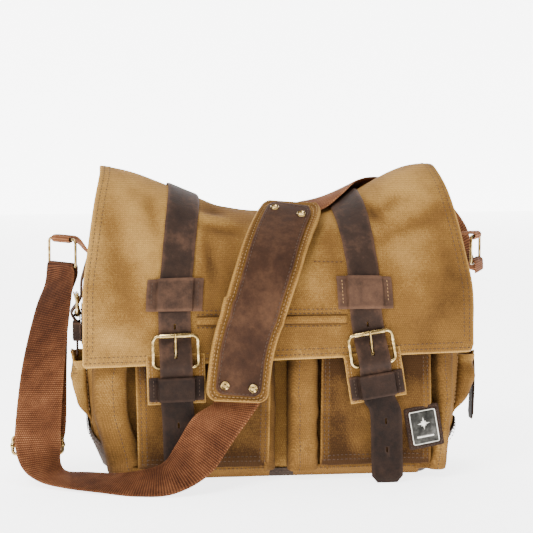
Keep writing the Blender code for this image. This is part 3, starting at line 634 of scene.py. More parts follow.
def body_point(level, u, v):
    """A body point from an outline point, with the corners' rise."""
    z, _, _, centre_y, share = level
    rise = EAR_RISE - 4 * MM
    return Vector((u, centre_y + v, z + share * rise * valley(u)))


def body_level(z):
    """The body's row of sizes at a height."""
    return (z,) + knot_value(z, BODY_LEVELS, straight)


def crumple(p, depth):
    """Soft dents and vertical creases of loaded canvas."""
    broad = wobble(p, 16.0, 3.0)
    crease = wobble((p.x * 2.2, p.y * 2.2, p.z * 0.7), 38.0, 9.0)
    return depth * (0.75 * broad + 0.5 * crease - 0.35)


def body_rings(inset, heights, depth):
    """Closed rings around the body, inset from its canvas and crumpled to a depth."""
    rings = []
    for z in heights:
        level = body_level(z)
        outline = rounded_rectangle(level[1] - inset, level[2] - inset, 20 * MM - inset, 8, 26)
        ring = []
        for u, v in outline:
            p = body_point(level, u, v)
            away = Vector((u / level[1], v / level[2], 0))
            away = Vector([math.copysign(abs(part) ** 5, part) for part in away])
            ring.append(p + away.normalized() * min(crumple(p, depth), 0.2 * MM))
        rings.append(ring)
    return rings


def ring_row(thread, ring, share, shift):
    """Stitches around a ring, facing out from the ring's middle, which is shifted back."""
    def outward(i):
        p = ring[i % len(ring)]
        return Vector((p.x * share, p.y - shift, 0))

    thread.row(ring + ring[:1], outward)


def build_body():
    """The bag's canvas shell and lining, with stitches along the rim and up both ends."""
    heights = [BODY_FOOT_Z + (BODY_RIM_Z - BODY_FOOT_Z) * (k / 44) for k in range(45)]
    outer = body_rings(0.0, heights, 2.0 * MM)
    inner = body_rings(3.4 * MM, heights[1:], 0.0)
    rim = [[a.lerp(b, 0.5) + Vector((0, 0, 0.8 * MM)) for a, b in zip(outer[-1], inner[-1])]]
    loft("bag_canvas", outer + rim + inner[::-1], "canvas", "bag", ("bag_body",))
    heights = [6 * MM + 207 * MM * (k / 24) for k in range(25)]
    outer = body_rings(LINING_OUT, heights, 1.2 * MM)
    inner = body_rings(LINING_IN, heights, 1.2 * MM)
    loft("bag_lining", outer + inner[::-1], "lining", "bag", ("lining",))
    thread = Stitches("rim_stitches", "thread_tan", "bag")
    for drop in (4 * MM, 9 * MM):
        ring_row(thread, body_rings(-0.3 * MM, [BODY_RIM_Z - drop], 0.0)[0], 0.1, 12 * MM)
    for sign in (-1, 1):
        for y in (-36 * MM, 36 * MM):
            path = [Vector((sign * (body_level(z)[1] + 0.2 * MM), y * body_level(z)[2] / (55 * MM), z))
                    for z in (60 * MM + 4 * MM * k for k in range(34))]
            thread.row(path, (sign, 0, 0))
    thread.build()


def base_top(x):
    """The leather tray's height at x: low along the front and back, high at the corners."""
    return TRAY_LOW + TRAY_CORNER_RISE * ease((abs(x) - 125 * MM) / (30 * MM))


def build_base():
    """The leather tray: bottom, a low front and back, and high corners, with a stitched top edge."""
    count = 14
    outer, inner = [], []
    for share in (k / count for k in range(count + 1)):
        level = body_level(BODY_FOOT_Z + (TRAY_LOW - BODY_FOOT_Z) * share)
        for stack, inset in ((outer, -2.1 * MM), (inner, -0.4 * MM)):
            ring = []
            for u, v in rounded_rectangle(level[1] - inset, level[2] - inset, 22 * MM, 8, 26):
                height = BODY_FOOT_Z + (base_top(u) - BODY_FOOT_Z) * share
                wide = body_level(height)
                ring.append(Vector((u * (wide[1] - inset) / (level[1] - inset),
                                    v * (wide[2] - inset) / (level[2] - inset), height)))
            stack.append(ring)
    outer = [[Vector((p.x, p.y, 0.0)) for p in outer[0]]] + outer[1:]
    inner = [[Vector((p.x, p.y, 1.9 * MM)) for p in inner[0]]] + inner[1:]
    for p in outer[0]:
        p.x *= 0.985
        p.y *= 0.96
    loft("base_panel", outer + inner[::-1], "base_leather", "bag", ("leather_base",))
    thread = Stitches("base_stitches", "thread_dark", "bag")
    for drop in (3 * MM, 6.5 * MM):
        ring = [Vector((p.x, p.y, p.z - drop)) + Vector((p.x, p.y * 3, 0)).normalized() * 0.3 * MM
                for p in outer[-1]]
        ring_row(thread, ring, 0.2, 0.0)
    thread.build()


# ---------------------------------------------------------------- flap

FLAP_FOLDS = (
    # a fold from one point to another on the flap as seen from the front: x, z, x, z, width, height
    (-62, 228, -38, 222, 5.0, 2.0), (-63, 236, -44, 232, 4.5, -3.6), (-61, 212, -58, 178, 5.0, -3.0),
    (-66, 222, -30, 214, 4.0, -2.4), (-40, 215, -12, 205, 9.0, 1.2), (82, 238, 92, 226, 6.0, -4.2),
    (96, 234, 112, 246, 6.5, -3.0), (92, 243, 136, 266, 9.0, 2.6), (98, 226, 140, 250, 11.0, 1.8),
    (100, 215, 150, 232, 8.0, -1.8), (-130, 250, -106, 175, 13.0, 1.4), (-148, 240, -130, 150, 11.0, -1.8),
    (-112, 246, -104, 215, 7.0, -2.2), (100, 190, 150, 215, 14.0, 1.6), (45, 215, 52, 178, 8.0, -1.6),
    (110, 205, 120, 150, 12.0, 1.2), (125, 130, 158, 190, 12.0, -1.4), (-20, 190, 40, 170, 12.0, 0.8),
    (-168, 140, -120, 118, 10.0, 1.0), (-60, 165, -58, 140, 6.0, -1.2), (140, 225, 163, 140, 10.0, -1.2),
)


def segment_distance(x, z, fold):
    """The distance from a point to a fold's line, and the share along it of the nearest point."""
    ax, az, bx, bz = fold[:4]
    dx, dz = bx - ax, bz - az
    f = ((x - ax) * dx + (z - az) * dz) / (dx * dx + dz * dz)
    f = min(max(f, 0.0), 1.0)
    return math.hypot(x - ax - f * dx, z - az - f * dz), f


def flap_relief(x, t, p):
    """How far the flap's cloth stands off its plain shape, in metres; folds sink more than they rise."""
    relief = 0.9 * wobble((x, t * 0.25, 0), 14.0, 2.0) + 0.35 * wobble((x, t * 0.25, 0), 45.0, 5.0)
    if t > 0.4:
        for fold in FLAP_FOLDS:
            near, f = segment_distance(x / MM, p.z / MM, fold)
            relief += fold[5] * math.exp(-(near / fold[4]) ** 2) * math.sin(math.pi * (0.15 + 0.7 * f))
    free = ease((abs(x + 2 * MM) - 96 * MM) / (10 * MM))
    high = 0.9 + 1.6 * free * ease((p.z - 118 * MM) / (12 * MM))
    low = -1.5 - 2.5 * ease((p.z - 170 * MM) / (25 * MM))
    return max(min(relief, high), low) * MM


def flap_rows(columns=150, top_rows=96, low_rows=22):
    """Grid of points on the flap's middle, and each point's shade."""
    rows, shades = [], []
    for r in range(top_rows + low_rows + 1):
        row, shade = [], []
        for c in range(columns + 1):
            side = 2 * c / columns - 1
            side = math.copysign(1 - (1 - abs(side)) ** 1.15, side)
            x = side * FLAP_HALF_W
            if r <= top_rows:
                t = r / top_rows
            else:
                corner = 6 * MM if side > 0 else 3 * MM
                inside = max(abs(x) - FLAP_HALF_W + corner, 0.0)
                low = flap_bottom(x) + corner - math.sqrt(max(corner ** 2 - inside ** 2, 0.0))
                t = 1.0 + (t_at(low) - 1.0) * (r - top_rows) / low_rows
            x = side * flap_half_width(t)
            edge = (1 - abs(side)) * FLAP_HALF_W
            hem = (hem_t(x) - t) * STRAIGHT_Z if t > 1 else 1.0
            p = surface_point(x, t)
            rim = min(edge, hem)
            relief = flap_relief(x, t, p) - FLAP_T / 2
            fold_over = 0.35 * MM * ease((11 * MM - rim) / (1.2 * MM))
            row.append(surface_point(x, t, relief + fold_over - 0.35 * MM))
            worn = 0.26 * ease(1 - rim / (1.6 * MM))
            # painted light: the flap is lighter on the left and darker on the right, with a patch of painted
            # shade around x = -40 mm
            lean = -0.08 * (x / FLAP_HALF_W) + 0.06 - 0.13 * math.exp(-((x + 40 * MM) / (34 * MM)) ** 2)
            # painted light and shade: cloth that stands out is lightened and sunk folds are darkened in
            # proportion to their depth
            rise = (relief + FLAP_T / 2) / MM
            crease = 0.06 * rise if rise > 0 else 0.075 * rise
            # the last term is painted light: a lighter band over the top of the flap, from its crest down the
            # front slope
            shade.append(worn + lean + crease + 0.06 * ease((t - 0.4) / 0.25) * (1 - ease((t - 0.7) / 0.3)))
        rows.append(row)
        shades.append(shade)
    return rows, shades


def hem_t(x):
    """The t of the flap's hem at x."""
    return t_at(flap_bottom(x))


def seam_path(places):
    """Points just proud of the flap's cloth at (x, t) places."""
    return [surface_point(x, t, flap_relief(x, t, surface_point(x, t)) + 0.1 * MM) for x, t in places]


def flap_row(thread, places):
    """Stitches on the flap through (x, t) places, facing out from its surface."""
    thread.row(seam_path(places), lambda i: surface_normal(*places[min(i, len(places) - 1)]))


def build_flap():
    """The flap's cloth with its hems' stitches and the welt of its slit pocket."""
    rows, shades = flap_rows()
    cloth = sheet("flap_cloth", rows, FLAP_T, "canvas", "flap", ("flap",), tone=lambda r, c: shades[r][c])
    declare_cloth(rows)
    thread = Stitches("flap_stitches", "thread_dark", "flap", 2.3 * MM, 1.5 * MM, 0.33 * MM)
    for margin in (3.6 * MM, 8.2 * MM):
        for side in (-1, 1):
            spots = []
            for k in range(150):
                t = 0.30 + 1.1 * k / 149
                x = side * (flap_half_width(t) - margin)
                if t < hem_t(x) - margin / STRAIGHT_Z:
                    spots.append((x, t))
            flap_row(thread, spots)
        spots = []
        for k in range(120):
            x = (2 * k / 119 - 1) * (FLAP_HALF_W - margin)
            spots.append((x, hem_t(x) - margin / STRAIGHT_Z))
        thread.row(seam_path(spots), FORWARD)
    # stitches of the flap's slit pocket, as (height, first x, last x); the last row is below its welt
    for height, first, last in ((147.5, -72, 57), (151, -72, 57), (191, 30, 57), (136.5, -72, 57)):
        spots = []
        for k in range(50):
            x = (first + (last - first) * k / 49) * MM
            spots.append((x, t_at(height * MM) if height < 150 else 1 - (height - 150) * 0.167 / 40))
        flap_row(thread, spots)
    thread.build()
    welt = []
    for z, d in ((138.2, 0.35), (139.5, 0.75), (142, 0.85), (145.2, 0.75), (145.8, 0.40)):
        welt.append([Vector((x * MM, FRONT_Y - d * MM, z * MM)) for x in range(-72, 58, 3)])
    # the welt's tones are painted shade along its top and bottom edges, where it meets the flap, with a
    # slight painted highlight across its middle
    strip = sheet("flap_welt", welt, 0.9 * MM, "canvas", "flap", ("flap_pocket_welt",),
                  tone=lambda r, c: (-0.32, 0.05, 0.08, 0.02, -0.40)[r])


# ---------------------------------------------------------------- front pockets

POCKET_BACK = -57.9 * MM
POCKET_FRONT = -77.2 * MM
POCKET_TOP = 122 * MM
POCKET_FOOT = 14 * MM
FRONT_POCKETS = {
    # side: the panel's left edge, its right edge and how far its foot narrows, in mm
    "left": (-124, -8, 4),
    "right": (37, 131, -2),
}


def panel_point(side, across, up):
    """A point on a pocket's front panel; across and up run from 0 to 1."""
    left, right, narrowing = FRONT_POCKETS[side]
    spread = narrowing * (1 - up) * (across - 0.5) * -1.2
    x = (left + (right - left) * across + spread) * MM
    z = POCKET_FOOT + (POCKET_TOP - POCKET_FOOT) * up
    bulge = 2.6 * MM * math.sin(math.pi * across) * math.sin(math.pi * min(up * 1.15, 1.0))
    tuck = 3.5 * MM * (1 - ease(up / 0.10)) ** 2
    seed = 1.0 if side == "left" else 4.0
    ripple = 3.2 * MM * wobble((x, 0, z * 0.8), 28.0, seed)
    ripple += 1.3 * MM * wobble((x * 1.3 + z * 0.5, 0, z * 0.9), 62.0, seed + 6.0)
    y = POCKET_FRONT + 1.6 * MM - bulge * 1.2 + tuck + ripple * (1 - ease((up - 0.62) / 0.3))
    z += 1.6 * MM * wobble((x, 0, 0), 16.0, seed + 2) * (1 - ease(up / 0.5))
    return Vector((x, min(max(y, POCKET_FRONT - 3.2 * MM), POCKET_FRONT + 9 * MM), z))


def build_panel(side, thread):
    """A front pocket's panel with two rows of stitches inside its edges."""
    left, right, _ = FRONT_POCKETS[side]
    columns, count = 64, 56
    rows, shades = [], []
    for r in range(count + 1):
        up = 1 - r / count
        row, shade = [], []
        for c in range(columns + 1):
            a = c / columns
            a = 0.5 - 0.5 * math.copysign(1 - (1 - abs(1 - 2 * a)) ** 1.3, 1 - 2 * a)
            p = panel_point(side, a, up)
            row.append(p)
            rim = min(a, 1 - a) * (right - left)
            foot = up * 110
            worn = 0.22 * ease(1 - min(rim, foot) / 1.8)
            ridge = 0.10 * ease((8 - rim) / 2)
            # painted shade: the panel is darker where it lies further back and lighter where it bulges
            # forward
            dip = 0.045 * (POCKET_FRONT + 1 * MM - p.y) / MM
            # shaded is painted shade at the foot and a painted shadow of the flap above 80 mm
            shaded = 0.10 * (1 - ease(up / 0.2)) + 0.11 * ease((p.z - 80 * MM) / (26 * MM))
            # the constant 0.19 darkens both panels for their darker colour together with painted shade under
            # the flap; the further 0.08 is painted shade on the right pocket, away from the key light
            shade.append(worn + ridge + dip - 0.19 - shaded - 0.08 * (side == "right"))
        rows.append(row)
        shades.append(shade)
    panel = sheet(f"pocket_panel_{side}", rows, 1.7 * MM, "canvas", "bag", (f"front_pocket_{side}",),
                  tone=lambda r, c: shades[r][c])
    declare_cloth(rows)
    proud = Vector((0, -0.9 * MM, 0))
    for margin in (0.028, 0.065):
        for a in (margin, 1 - margin):
            path = [panel_point(side, a, 0.04 + 0.94 * k / 60) + proud for k in range(61)]
            thread.row(path, FORWARD)
        path = [panel_point(side, margin + (1 - 2 * margin) * k / 60, 0.02 + margin) + proud
                for k in range(61)]
        thread.row(path, FORWARD)


def pleat(name, profile, low, high, seed, thread, seam=None, flare=0.0, bright=0.0, taper=0.0):
    """An upright bellows pleat: a sheet whose outline in plan is given by points (x, y) in mm."""
    line = smooth_path([(x * MM, y * MM, 0) for x, y in profile], 8)
    rows, count = [], 44
    for r in range(count + 1):
        z = (low + (high - low) * (1 - r / count)) * MM
        share = (z / MM - low) / (high - low)
        row = []
        for k, p in enumerate(line):
            middle = math.sin(math.pi * k / (len(line) - 1))
            push = middle * (2.6 * wobble((p.x * 0.8, 0, z), 36.0, seed)
                             + 1.8 * wobble((p.x, 0, z * 1.8), 60.0, seed + 2))
            push += taper * (1 - ease(z / (78 * MM)))
            spread = flare * middle * math.sin(math.pi * share)
            squeeze = 1 - 0.30 * middle * (1 - ease(share / 0.16))
            y = POCKET_BACK + (p.y - POCKET_BACK) * squeeze + push * MM * 0.55
            row.append(Vector((p.x + push * MM * 0.8 + spread * MM, max(y, POCKET_FRONT - 2 * MM), z)))
        rows.append(row)
    # painted light and shade: bright shifts each pleat lighter or darker by how light falls on it, the cloth
    # is darker the further back it lies, and above 82 mm a painted shadow of the flap darkens it; the wobble
    # is random tone
    shade = [[bright - 0.15 + 0.05 * wobble(p, 60.0, seed) + 0.016 * (-p.y / MM - 66)
              - 0.10 * ease((p.z - 82 * MM) / (24 * MM)) for p in row] for row in rows]
    folds = sheet(name, rows, 1.6 * MM, "canvas", "bag", tone=lambda r, c: shade[r][c])
    declare_cloth(rows)
    if seam is not None:
        for column in seam:
            k = int(column * (len(line) - 1))
            path = [row[k] + Vector((0, -1.0 * MM, 0)) for row in rows[::-1]]
            thread.row(path, FORWARD)


def build_front_pockets():
    """The two bellows pockets: panels, pleats at their sides and strips along their feet."""
    thread = Stitches("pocket_stitches", "thread_dark", "bag", 2.2 * MM, 1.5 * MM, 0.32 * MM)
    for side in FRONT_POCKETS:
        build_panel(side, thread)
    pleat("left_pocket_outer_pleat", ((-158, -48), (-159, -60), (-155, -70), (-146, -73.5), (-136, -74.5),
                                      (-130, -71), (-129, -64), (-122, -61.5), (-118, -64), (-118, -66)),
          8, 122, 3.0, thread, (0.40, 0.56), -3.0, 0.10, 16.0)
    pleat("left_pocket_inner_pleat", ((-3.5, -58.3), (-4, -66), (-8, -72), (-13, -74)), 10, 122, 7.0, thread,
          None, 0.0, -0.08)
    pleat("right_pocket_inner_pleat", ((8.5, -58.3), (9.5, -68), (13, -74), (20, -75.5), (29, -74.5),
                                       (33, -70), (33.5, -64), (38, -62), (42, -64), (43, -66)),
          9, 122, 11.0, thread, (0.30,), 0.0, -0.02)
    pleat("right_pocket_outer_pleat", ((125, -65), (127, -64), (132, -62.5), (136, -66), (139, -73),
                                       (144, -75.5), (149, -72), (152, -64), (151, -57)),
          8, 122, 15.0, thread, (0.62,), 3.0, -0.02, -6.0)
    # the flat strip along each pocket's foot
    for name, first, last, high, seed in (("left_pocket_foot", -126, -8, 14, 2.0),
                                          ("right_pocket_foot", 14, 124, 13, 5.0)):
        rows = []
        for r in range(9):
            up = 1 - r / 8
            row = []
            for k in range(60):
                x = (first + (last - first) * k / 59) * MM
                z = (3.5 + (high - 3.5) * up + 0.8 * wobble((x, 0, 0), 25.0, seed)) * MM
                y = -60.5 - 5.5 * ease(up * 1.1) + 1.2 * wobble((x, z, 0), 40.0, seed + 1)
                row.append(Vector((x, y * MM, z)))
            rows.append(row)
        foot = sheet(name, rows, 1.6 * MM, "canvas", "bag", tone=lambda r, c: -0.04 - 0.01 * r)
        declare_cloth(rows)
        thread.row([p + Vector((0, -1.1 * MM, 0)) for p in rows[2]], (0, -1, 0.2))
    thread.build()


# ---------------------------------------------------------------- side pockets

SIDE_HEIGHT = 78 * MM
SIDE_FOOT_Z = 26 * MM
SIDE_POCKET_HALF = 41 * MM
SIDE_SWELL = ((0.0, 0.10), (0.30, 0.12), (0.55, 0.74), (0.76, 1.0), (0.91, 0.80), (1.0, 0.95))


def side_foot(z):
    """How far out a side pocket starts at a height; its foot is tucked under the leather base."""
    return body_level(z)[1] + (2.2 * ease((z - 50 * MM) / (12 * MM)) - 1.8) * MM


def build_side_pockets():
    """The gathered pockets on the bag's ends, each a shell that is open at the top."""
    thread = Stitches("side_pocket_stitches", "thread_dark", "bag", 2.2 * MM, 1.5 * MM, 0.32 * MM)
    for side, sign in (("left", -1), ("right", 1)):
        rings_out, rings_in = [], []
        count = 34
        # the left pocket lies flatter, under the webbing that hangs beside it
        depth, limit = (6.2 * MM, 179 * MM) if side == "left" else (8.4 * MM, 186.5 * MM)
        for stack, inset in ((rings_out, 0.0), (rings_in, 1.6 * MM)):
            for r in range(count + 1):
                share = r / count
                z = SIDE_FOOT_Z + SIDE_HEIGHT * share + (1.5 * MM if inset and r == 0 else 0)
                swell = knot_value(share, SIDE_SWELL)[0]
                half_u = SIDE_POCKET_HALF - inset - (1 - swell) * 8 * MM
                half_d = max(depth * swell - inset, 0.5 * MM)
                ring = []
                for u, v in rounded_rectangle(half_u, half_d, half_d * 0.8, 8, 20):
                    front = max(-v / (8 * MM), 0.0)
                    gather = math.sin(u * 420.0 + 2.5 * wobble((u, z, 0), 30.0, sign + 5))
                    pull = ease((share - 0.45) / 0.4) * 1.0 * MM
                    waves = 3.2 * MM * swell * wobble((u, z * 1.6, 0), 42.0, 9.0 + sign)
                    ripple = min(front * (pull * gather + waves), 1.6 * MM)
                    out = side_foot(z) + depth * swell - v + ripple
                    crest = 2.5 * MM * share * front * (gather + 1.5 * wobble((u, 0, 0), 30.0, 4.0))
                    ring.append(Vector((sign * min(out, limit), u, z + crest)))
                stack.append(ring)
        rings = rings_out + rings_in[::-1]
        # painted light: the left pocket is lightened and the right one darkened, as lit from the left; the
        # top edge above 94 mm is lighter too
        painted_side_light = 0.12 if side == "left" else -0.03
        tones = [0.10 * wobble(p, 50.0, 2.0) + painted_side_light + 0.15 * ease((p.z - 94 * MM) / (4 * MM))
                 for ring in rings for p in ring]
        cloth = loft(f"side_pocket_cloth_{side}", rings, "canvas", "bag", (f"side_pocket_{side}",),
                     tones=tones)
        declare_cloth([ring + ring[:1] for ring in rings_out])
        for r in (count - 3, count - 5):
            ring = [p + Vector((sign * 0.3 * MM, 0, 0)) for p in rings_out[r] if abs(p.x) > 172 * MM]
            ring.sort(key=lambda p: p.y)
            thread.row(ring, (sign, 0, 0))
    thread.build()


# ---------------------------------------------------------------- badge

def leaning_frame(centre, lean):
    """Maps (across, up, out to the front) about a centre, turned by a lean, to world coordinates."""
    def place(u, v, d):
        return Vector((centre[0] + u * math.cos(lean) - v * math.sin(lean), centre[1] - d,
                       centre[2] + u * math.sin(lean) + v * math.cos(lean)))
    return place


def build_badge():
    """A leather patch and a framed pewter plate with a plain compass-like star and a bar."""
    place = leaning_frame(Vector((125.5 * MM, 0, 47 * MM)), math.radians(10))

    def card(name, half_w, half_h, corner, near, depth, key, replaced=(), bevel=0.25 * MM, drop=0.0):
        rings = []
        for d, inset in ((0.0, 0.0), (depth - bevel, 0.0), (depth, bevel)):
            outline = rounded_rectangle(half_w - inset, half_h - inset, corner, 6)
            rings.append([place(u, v - drop, d - near) for u, v in outline])
        loft(name, rings, key, "bag", replaced)

    face = POCKET_FACE_Y
    card("badge_patch", 15.5 * MM, 18.5 * MM, 2 * MM, face, 1.5 * MM, "strap_leather",
         ("badge_backing",), 0.5 * MM)
    plate = face - 1.8 * MM
    card("badge_field", 11.8 * MM, 14.8 * MM, 1.5 * MM, plate, 0.7 * MM, "badge_metal", ("badge_plate",))
    path = [place(u, v, 0.7 * MM - plate) for u, v in rounded_rectangle(11.3 * MM, 14.3 * MM, 1.5 * MM, 6)]
    wire("badge_rim", path, FORWARD, 0.55 * MM, "badge_rim", "bag", sides=10)
    rings = []
    for d, grow in ((0.5, 1.0), (1.05, 0.86)):
        ring = []
        for k, a in enumerate(circle(16)):
            r = (6.2 if k % 4 == 0 else 2.3 if k % 2 else 3.4) * grow * MM
            ring.append(place(r * math.sin(a), r * math.cos(a) + 3.0 * MM, d * MM - plate))
        rings.append(ring)
    loft("badge_star", rings, "badge_rim", "bag", smooth=False)
    card("badge_bar", 7.5 * MM, 0.9 * MM, 0.4 * MM, plate - 0.5 * MM, 0.5 * MM, "badge_rim", drop=8.2 * MM)
    thread = Stitches("badge_stitches", "thread_dark", "bag", 1.8 * MM, 1.2 * MM, 0.25 * MM)
    outline = rounded_rectangle(13.9 * MM, 16.9 * MM, 1.5 * MM, 4, 8)
    thread.row([place(u, v, 1.6 * MM - face) for u, v in outline + outline[:1]], FORWARD)
    thread.build()


# ---------------------------------------------------------------- buckled straps

def front_frame(centre_x, lean):
    """Maps (across, up, out) on the flap's straight front to world coordinates."""
    return leaning_frame((centre_x, FRONT_Y, BUCKLE_Z), lean)


def side_frame(sign):
    """Maps (across, up, out) on a bag end to world coordinates; sign is -1 left, 1 right."""
    def place(u, v, d):
        return Vector((sign * (SIDE_SET_X + d), u, SIDE_SET_Z + v))
    return place


def strip_rows(knots, half, count=15):
    """A strap's fine grid from (place function, v, d) knots, and each column's share of its half width."""
    shares = [2 * k / (count - 1) - 1 for k in range(count)]
    shares = [math.copysign(abs(s) ** 0.8, s) for s in shares]
    columns = [smooth_path([put(half * s, v, d) for put, v, d in knots], 6) for s in shares]
    return [list(row) for row in zip(*columns)], shares


def leather_strap(name, knots, half, body, replaced, holes, seed, tip=4 * MM):
    """A leather strap with burnished edges, a rounded tip, worn bends and punched holes."""
    rows, shares = strip_rows(knots, half)
    centre = len(shares) // 2
    lengths = running_lengths([row[centre] for row in rows])
    for r, row in enumerate(rows):
        left = lengths[-1] - lengths[r]
        if left < tip:
            pinch = 1 - (tip - math.sqrt(max(tip ** 2 - (tip - left) ** 2, 0.0))) / half
            middle = row[centre]
            rows[r] = [middle + (p - middle) * pinch for p in row]
    shades = []
    for row in rows:
        line = []
        for p, s in zip(row, shares):
            rub = 0.13 * ease((abs(s) - 0.80) / 0.2)
            bend = 0.10 * max(0.0, wobble((p.x * 0.4, p.y, p.z * 1.5), 45.0, seed))
            # painted shade: the strap darkens below 88 mm, where it hangs low
            low = -0.20 * ease((88 * MM - p.z) / (20 * MM))
            line.append(rub + bend + low - 0.02 + 0.05 * wobble(p, 90.0, seed + 3))
        shades.append(line)

    def softened(p):
        sway, swell = wobble((p.z, p.y, 0), 60.0, seed), wobble(p, 50.0, seed + 9)
        return p + Vector((0.25 * MM * sway, 0.25 * MM * swell, 0))

    soft = [[softened(p) for p in row] for row in rows]
    obj = sheet(name, soft, STRAP_T * LEATHER_SHARE, "strap_leather", body, replaced,
                tone=lambda r, c: shades[r][c], edge=0.38)
    for put, v, half_u, half_v in holes:
        outline = rounded_rectangle(half_u, half_v, half_u * 0.95, 4)
        cut(obj, [[put(u, v + w, d) for u, w in outline] for d in (-6 * MM, 18 * MM)])


def plain_loft(rings):
    """A helper solid through equal rings, which is removed again after a Boolean."""
    count = len(rings[0])
    verts = [tuple(p) for ring in rings for p in ring]
    faces = [tuple(range(count)), tuple(range(len(verts) - 1, len(verts) - count - 1, -1))]
    for s in range(len(rings) - 1):
        for i in range(count):
            j = (i + 1) % count
            faces.append((s * count + i, s * count + j, (s + 1) * count + j, (s + 1) * count + i))
    mesh = bpy.data.meshes.new("cutter")
    mesh.from_pydata(verts, [], faces)
    face_outward(mesh)
    return add_object("cutter", mesh)


def cut(target, rings):
    """Cut a solid through equal rings out of a piece."""
    cutter = plain_loft(rings)
    step = target.modifiers.new("cut", "BOOLEAN")
    step.operation = "DIFFERENCE"
    step.object = cutter
    step.solver = "EXACT"
    graph = bpy.context.evaluated_depsgraph_get()
    result = bpy.data.meshes.new_from_object(target.evaluated_get(graph))
    target.modifiers.remove(step)
    old = target.data
    target.data = result
    bpy.data.meshes.remove(old)
    bpy.data.objects.remove(cutter)


def keeper(name, rows, put, half_flange, half_strap, flange_d, bridge_d, wall, body, replaced, seed,
           thread, bright=0.0):
    """A leather keeper: sewn flanges and a bridge that bows over the strap."""
    side = half_strap + 1.6 * MM
    profile = [(-half_flange, flange_d)]
    profile += [(-half_flange + (half_flange - side - 1.2 * MM) * k / 4, flange_d) for k in range(1, 5)]
    profile += [(-side - 0.5 * MM, flange_d * 0.45 + bridge_d * 0.55), (-side + 0.2 * MM, bridge_d * 0.97)]
    profile += [(side * (k / 5 - 1), bridge_d + 0.2 * MM * math.sin(math.pi * k / 10)) for k in range(1, 10)]
    profile += [(-u, d) for u, d in profile[6:4:-1]] + [(-u, d) for u, d in profile[4::-1]]
    lines = [rows[0] + (rows[-1] - rows[0]) * k / 20 for k in range(21)]
    grid = [[put(u * (1 + 0.012 * wobble((u * 9, v if v < 1 else 0, k * 0.05), 3.0, seed)), v, d + wall / 2)
             for u, d in profile] for k, v in enumerate(lines)]
    if (grid[-1][0] - grid[0][0]).z > 0:
        grid.reverse()
    # the keeper's ends and flange edges are lighter from wear; bright is painted light, lightening the upper
    # keepers and darkening the lower ones
    shade = [[0.10 * (r in (0, 1, 19, 20)) + 0.08 * ease((abs(u) - half_flange * 0.93) / (half_flange * 0.07))
              + 0.10 * max(0.0, wobble(grid[r][c], 80.0, seed)) - 0.02 + bright
              for c, (u, _) in enumerate(profile)] for r in range(21)]
    sheet(name, grid, wall * LEATHER_SHARE, "strap_leather", body, replaced, tone=lambda r, c: shade[r][c])
    outward = put(0, rows[0], 1) - put(0, rows[0], 0)
    raise_by = outward.normalized() * (wall * 0.5 + 0.1 * MM)
    for u_place in (2, len(profile) - 3):
        thread.row([row[u_place] + raise_by for row in grid[2:19]], outward)


def brass_prong(name, place, half_h, rest_r, body):
    """A buckle's prong: an eye around the lower bar and a tapering tongue that rests on the upper one."""
    eye = WIRE + CHAPE_GAP + PRONG_R
    path = []
    for k in range(15):
        a = math.radians(-255 + 165 * k / 14)
        path.append(place(0, -half_h + eye * math.cos(a), BUCKLE_D + eye * math.sin(a)))
    start, end = path[-1], place(0, half_h + 2.0 * MM, BUCKLE_D + rest_r + PRONG_R + PRONG_CLEAR)
    path += [start.lerp(end, k / 16) for k in range(1, 17)]
    across = (place(1, 0, 0) - place(0, 0, 0)).normalized()
    rings = []
    for i, point in enumerate(path):
        before, after = path[max(i - 1, 0)], path[min(i + 1, len(path) - 1)]
        up = (after - before).normalized().cross(across).normalized()
        size = PRONG_R * (1.0 - 0.25 * ease((i - 22) / 9))
        if i == len(path) - 1:
            size *= 0.45
        rings.append(circle_points(point, size, up, across, 14))
    return loft(name, rings, "brass", body)


def chape(name, place, half_h, half_strap, body, replaced):
    """The leather loop that holds a buckle by its lower bar, notched for the prong."""
    loop = WIRE + CHAPE_GAP + 0.6 * MM
    tail = -half_h - 26 * MM * half_strap / FRONT_HALF
    spine = [(tail, BUCKLE_D - loop), ((tail - half_h) / 2, BUCKLE_D - loop)]
    for k in range(25):
        a = math.radians(-90 + 275 * k / 24)
        spine.append((-half_h + loop * math.cos(a), BUCKLE_D + loop * math.sin(a)))
    width = half_strap - 2 * MM
    grid = [[place(width * (c / 4 - 1), v, d) for c in range(9)] for v, d in spine]
    obj = sheet(name, grid, 1.1 * MM, "strap_leather", body, replaced)
    notch, reach = PRONG_R + 0.7 * MM, loop + 1.2 * MM
    box = [[place(u, v, d) for v, d in ((-half_h - reach, 0), (-half_h + reach, 0),
                                        (-half_h + reach, 12 * MM), (-half_h - reach, 12 * MM))]
           for u in (-notch, notch)]
    cut(obj, box)


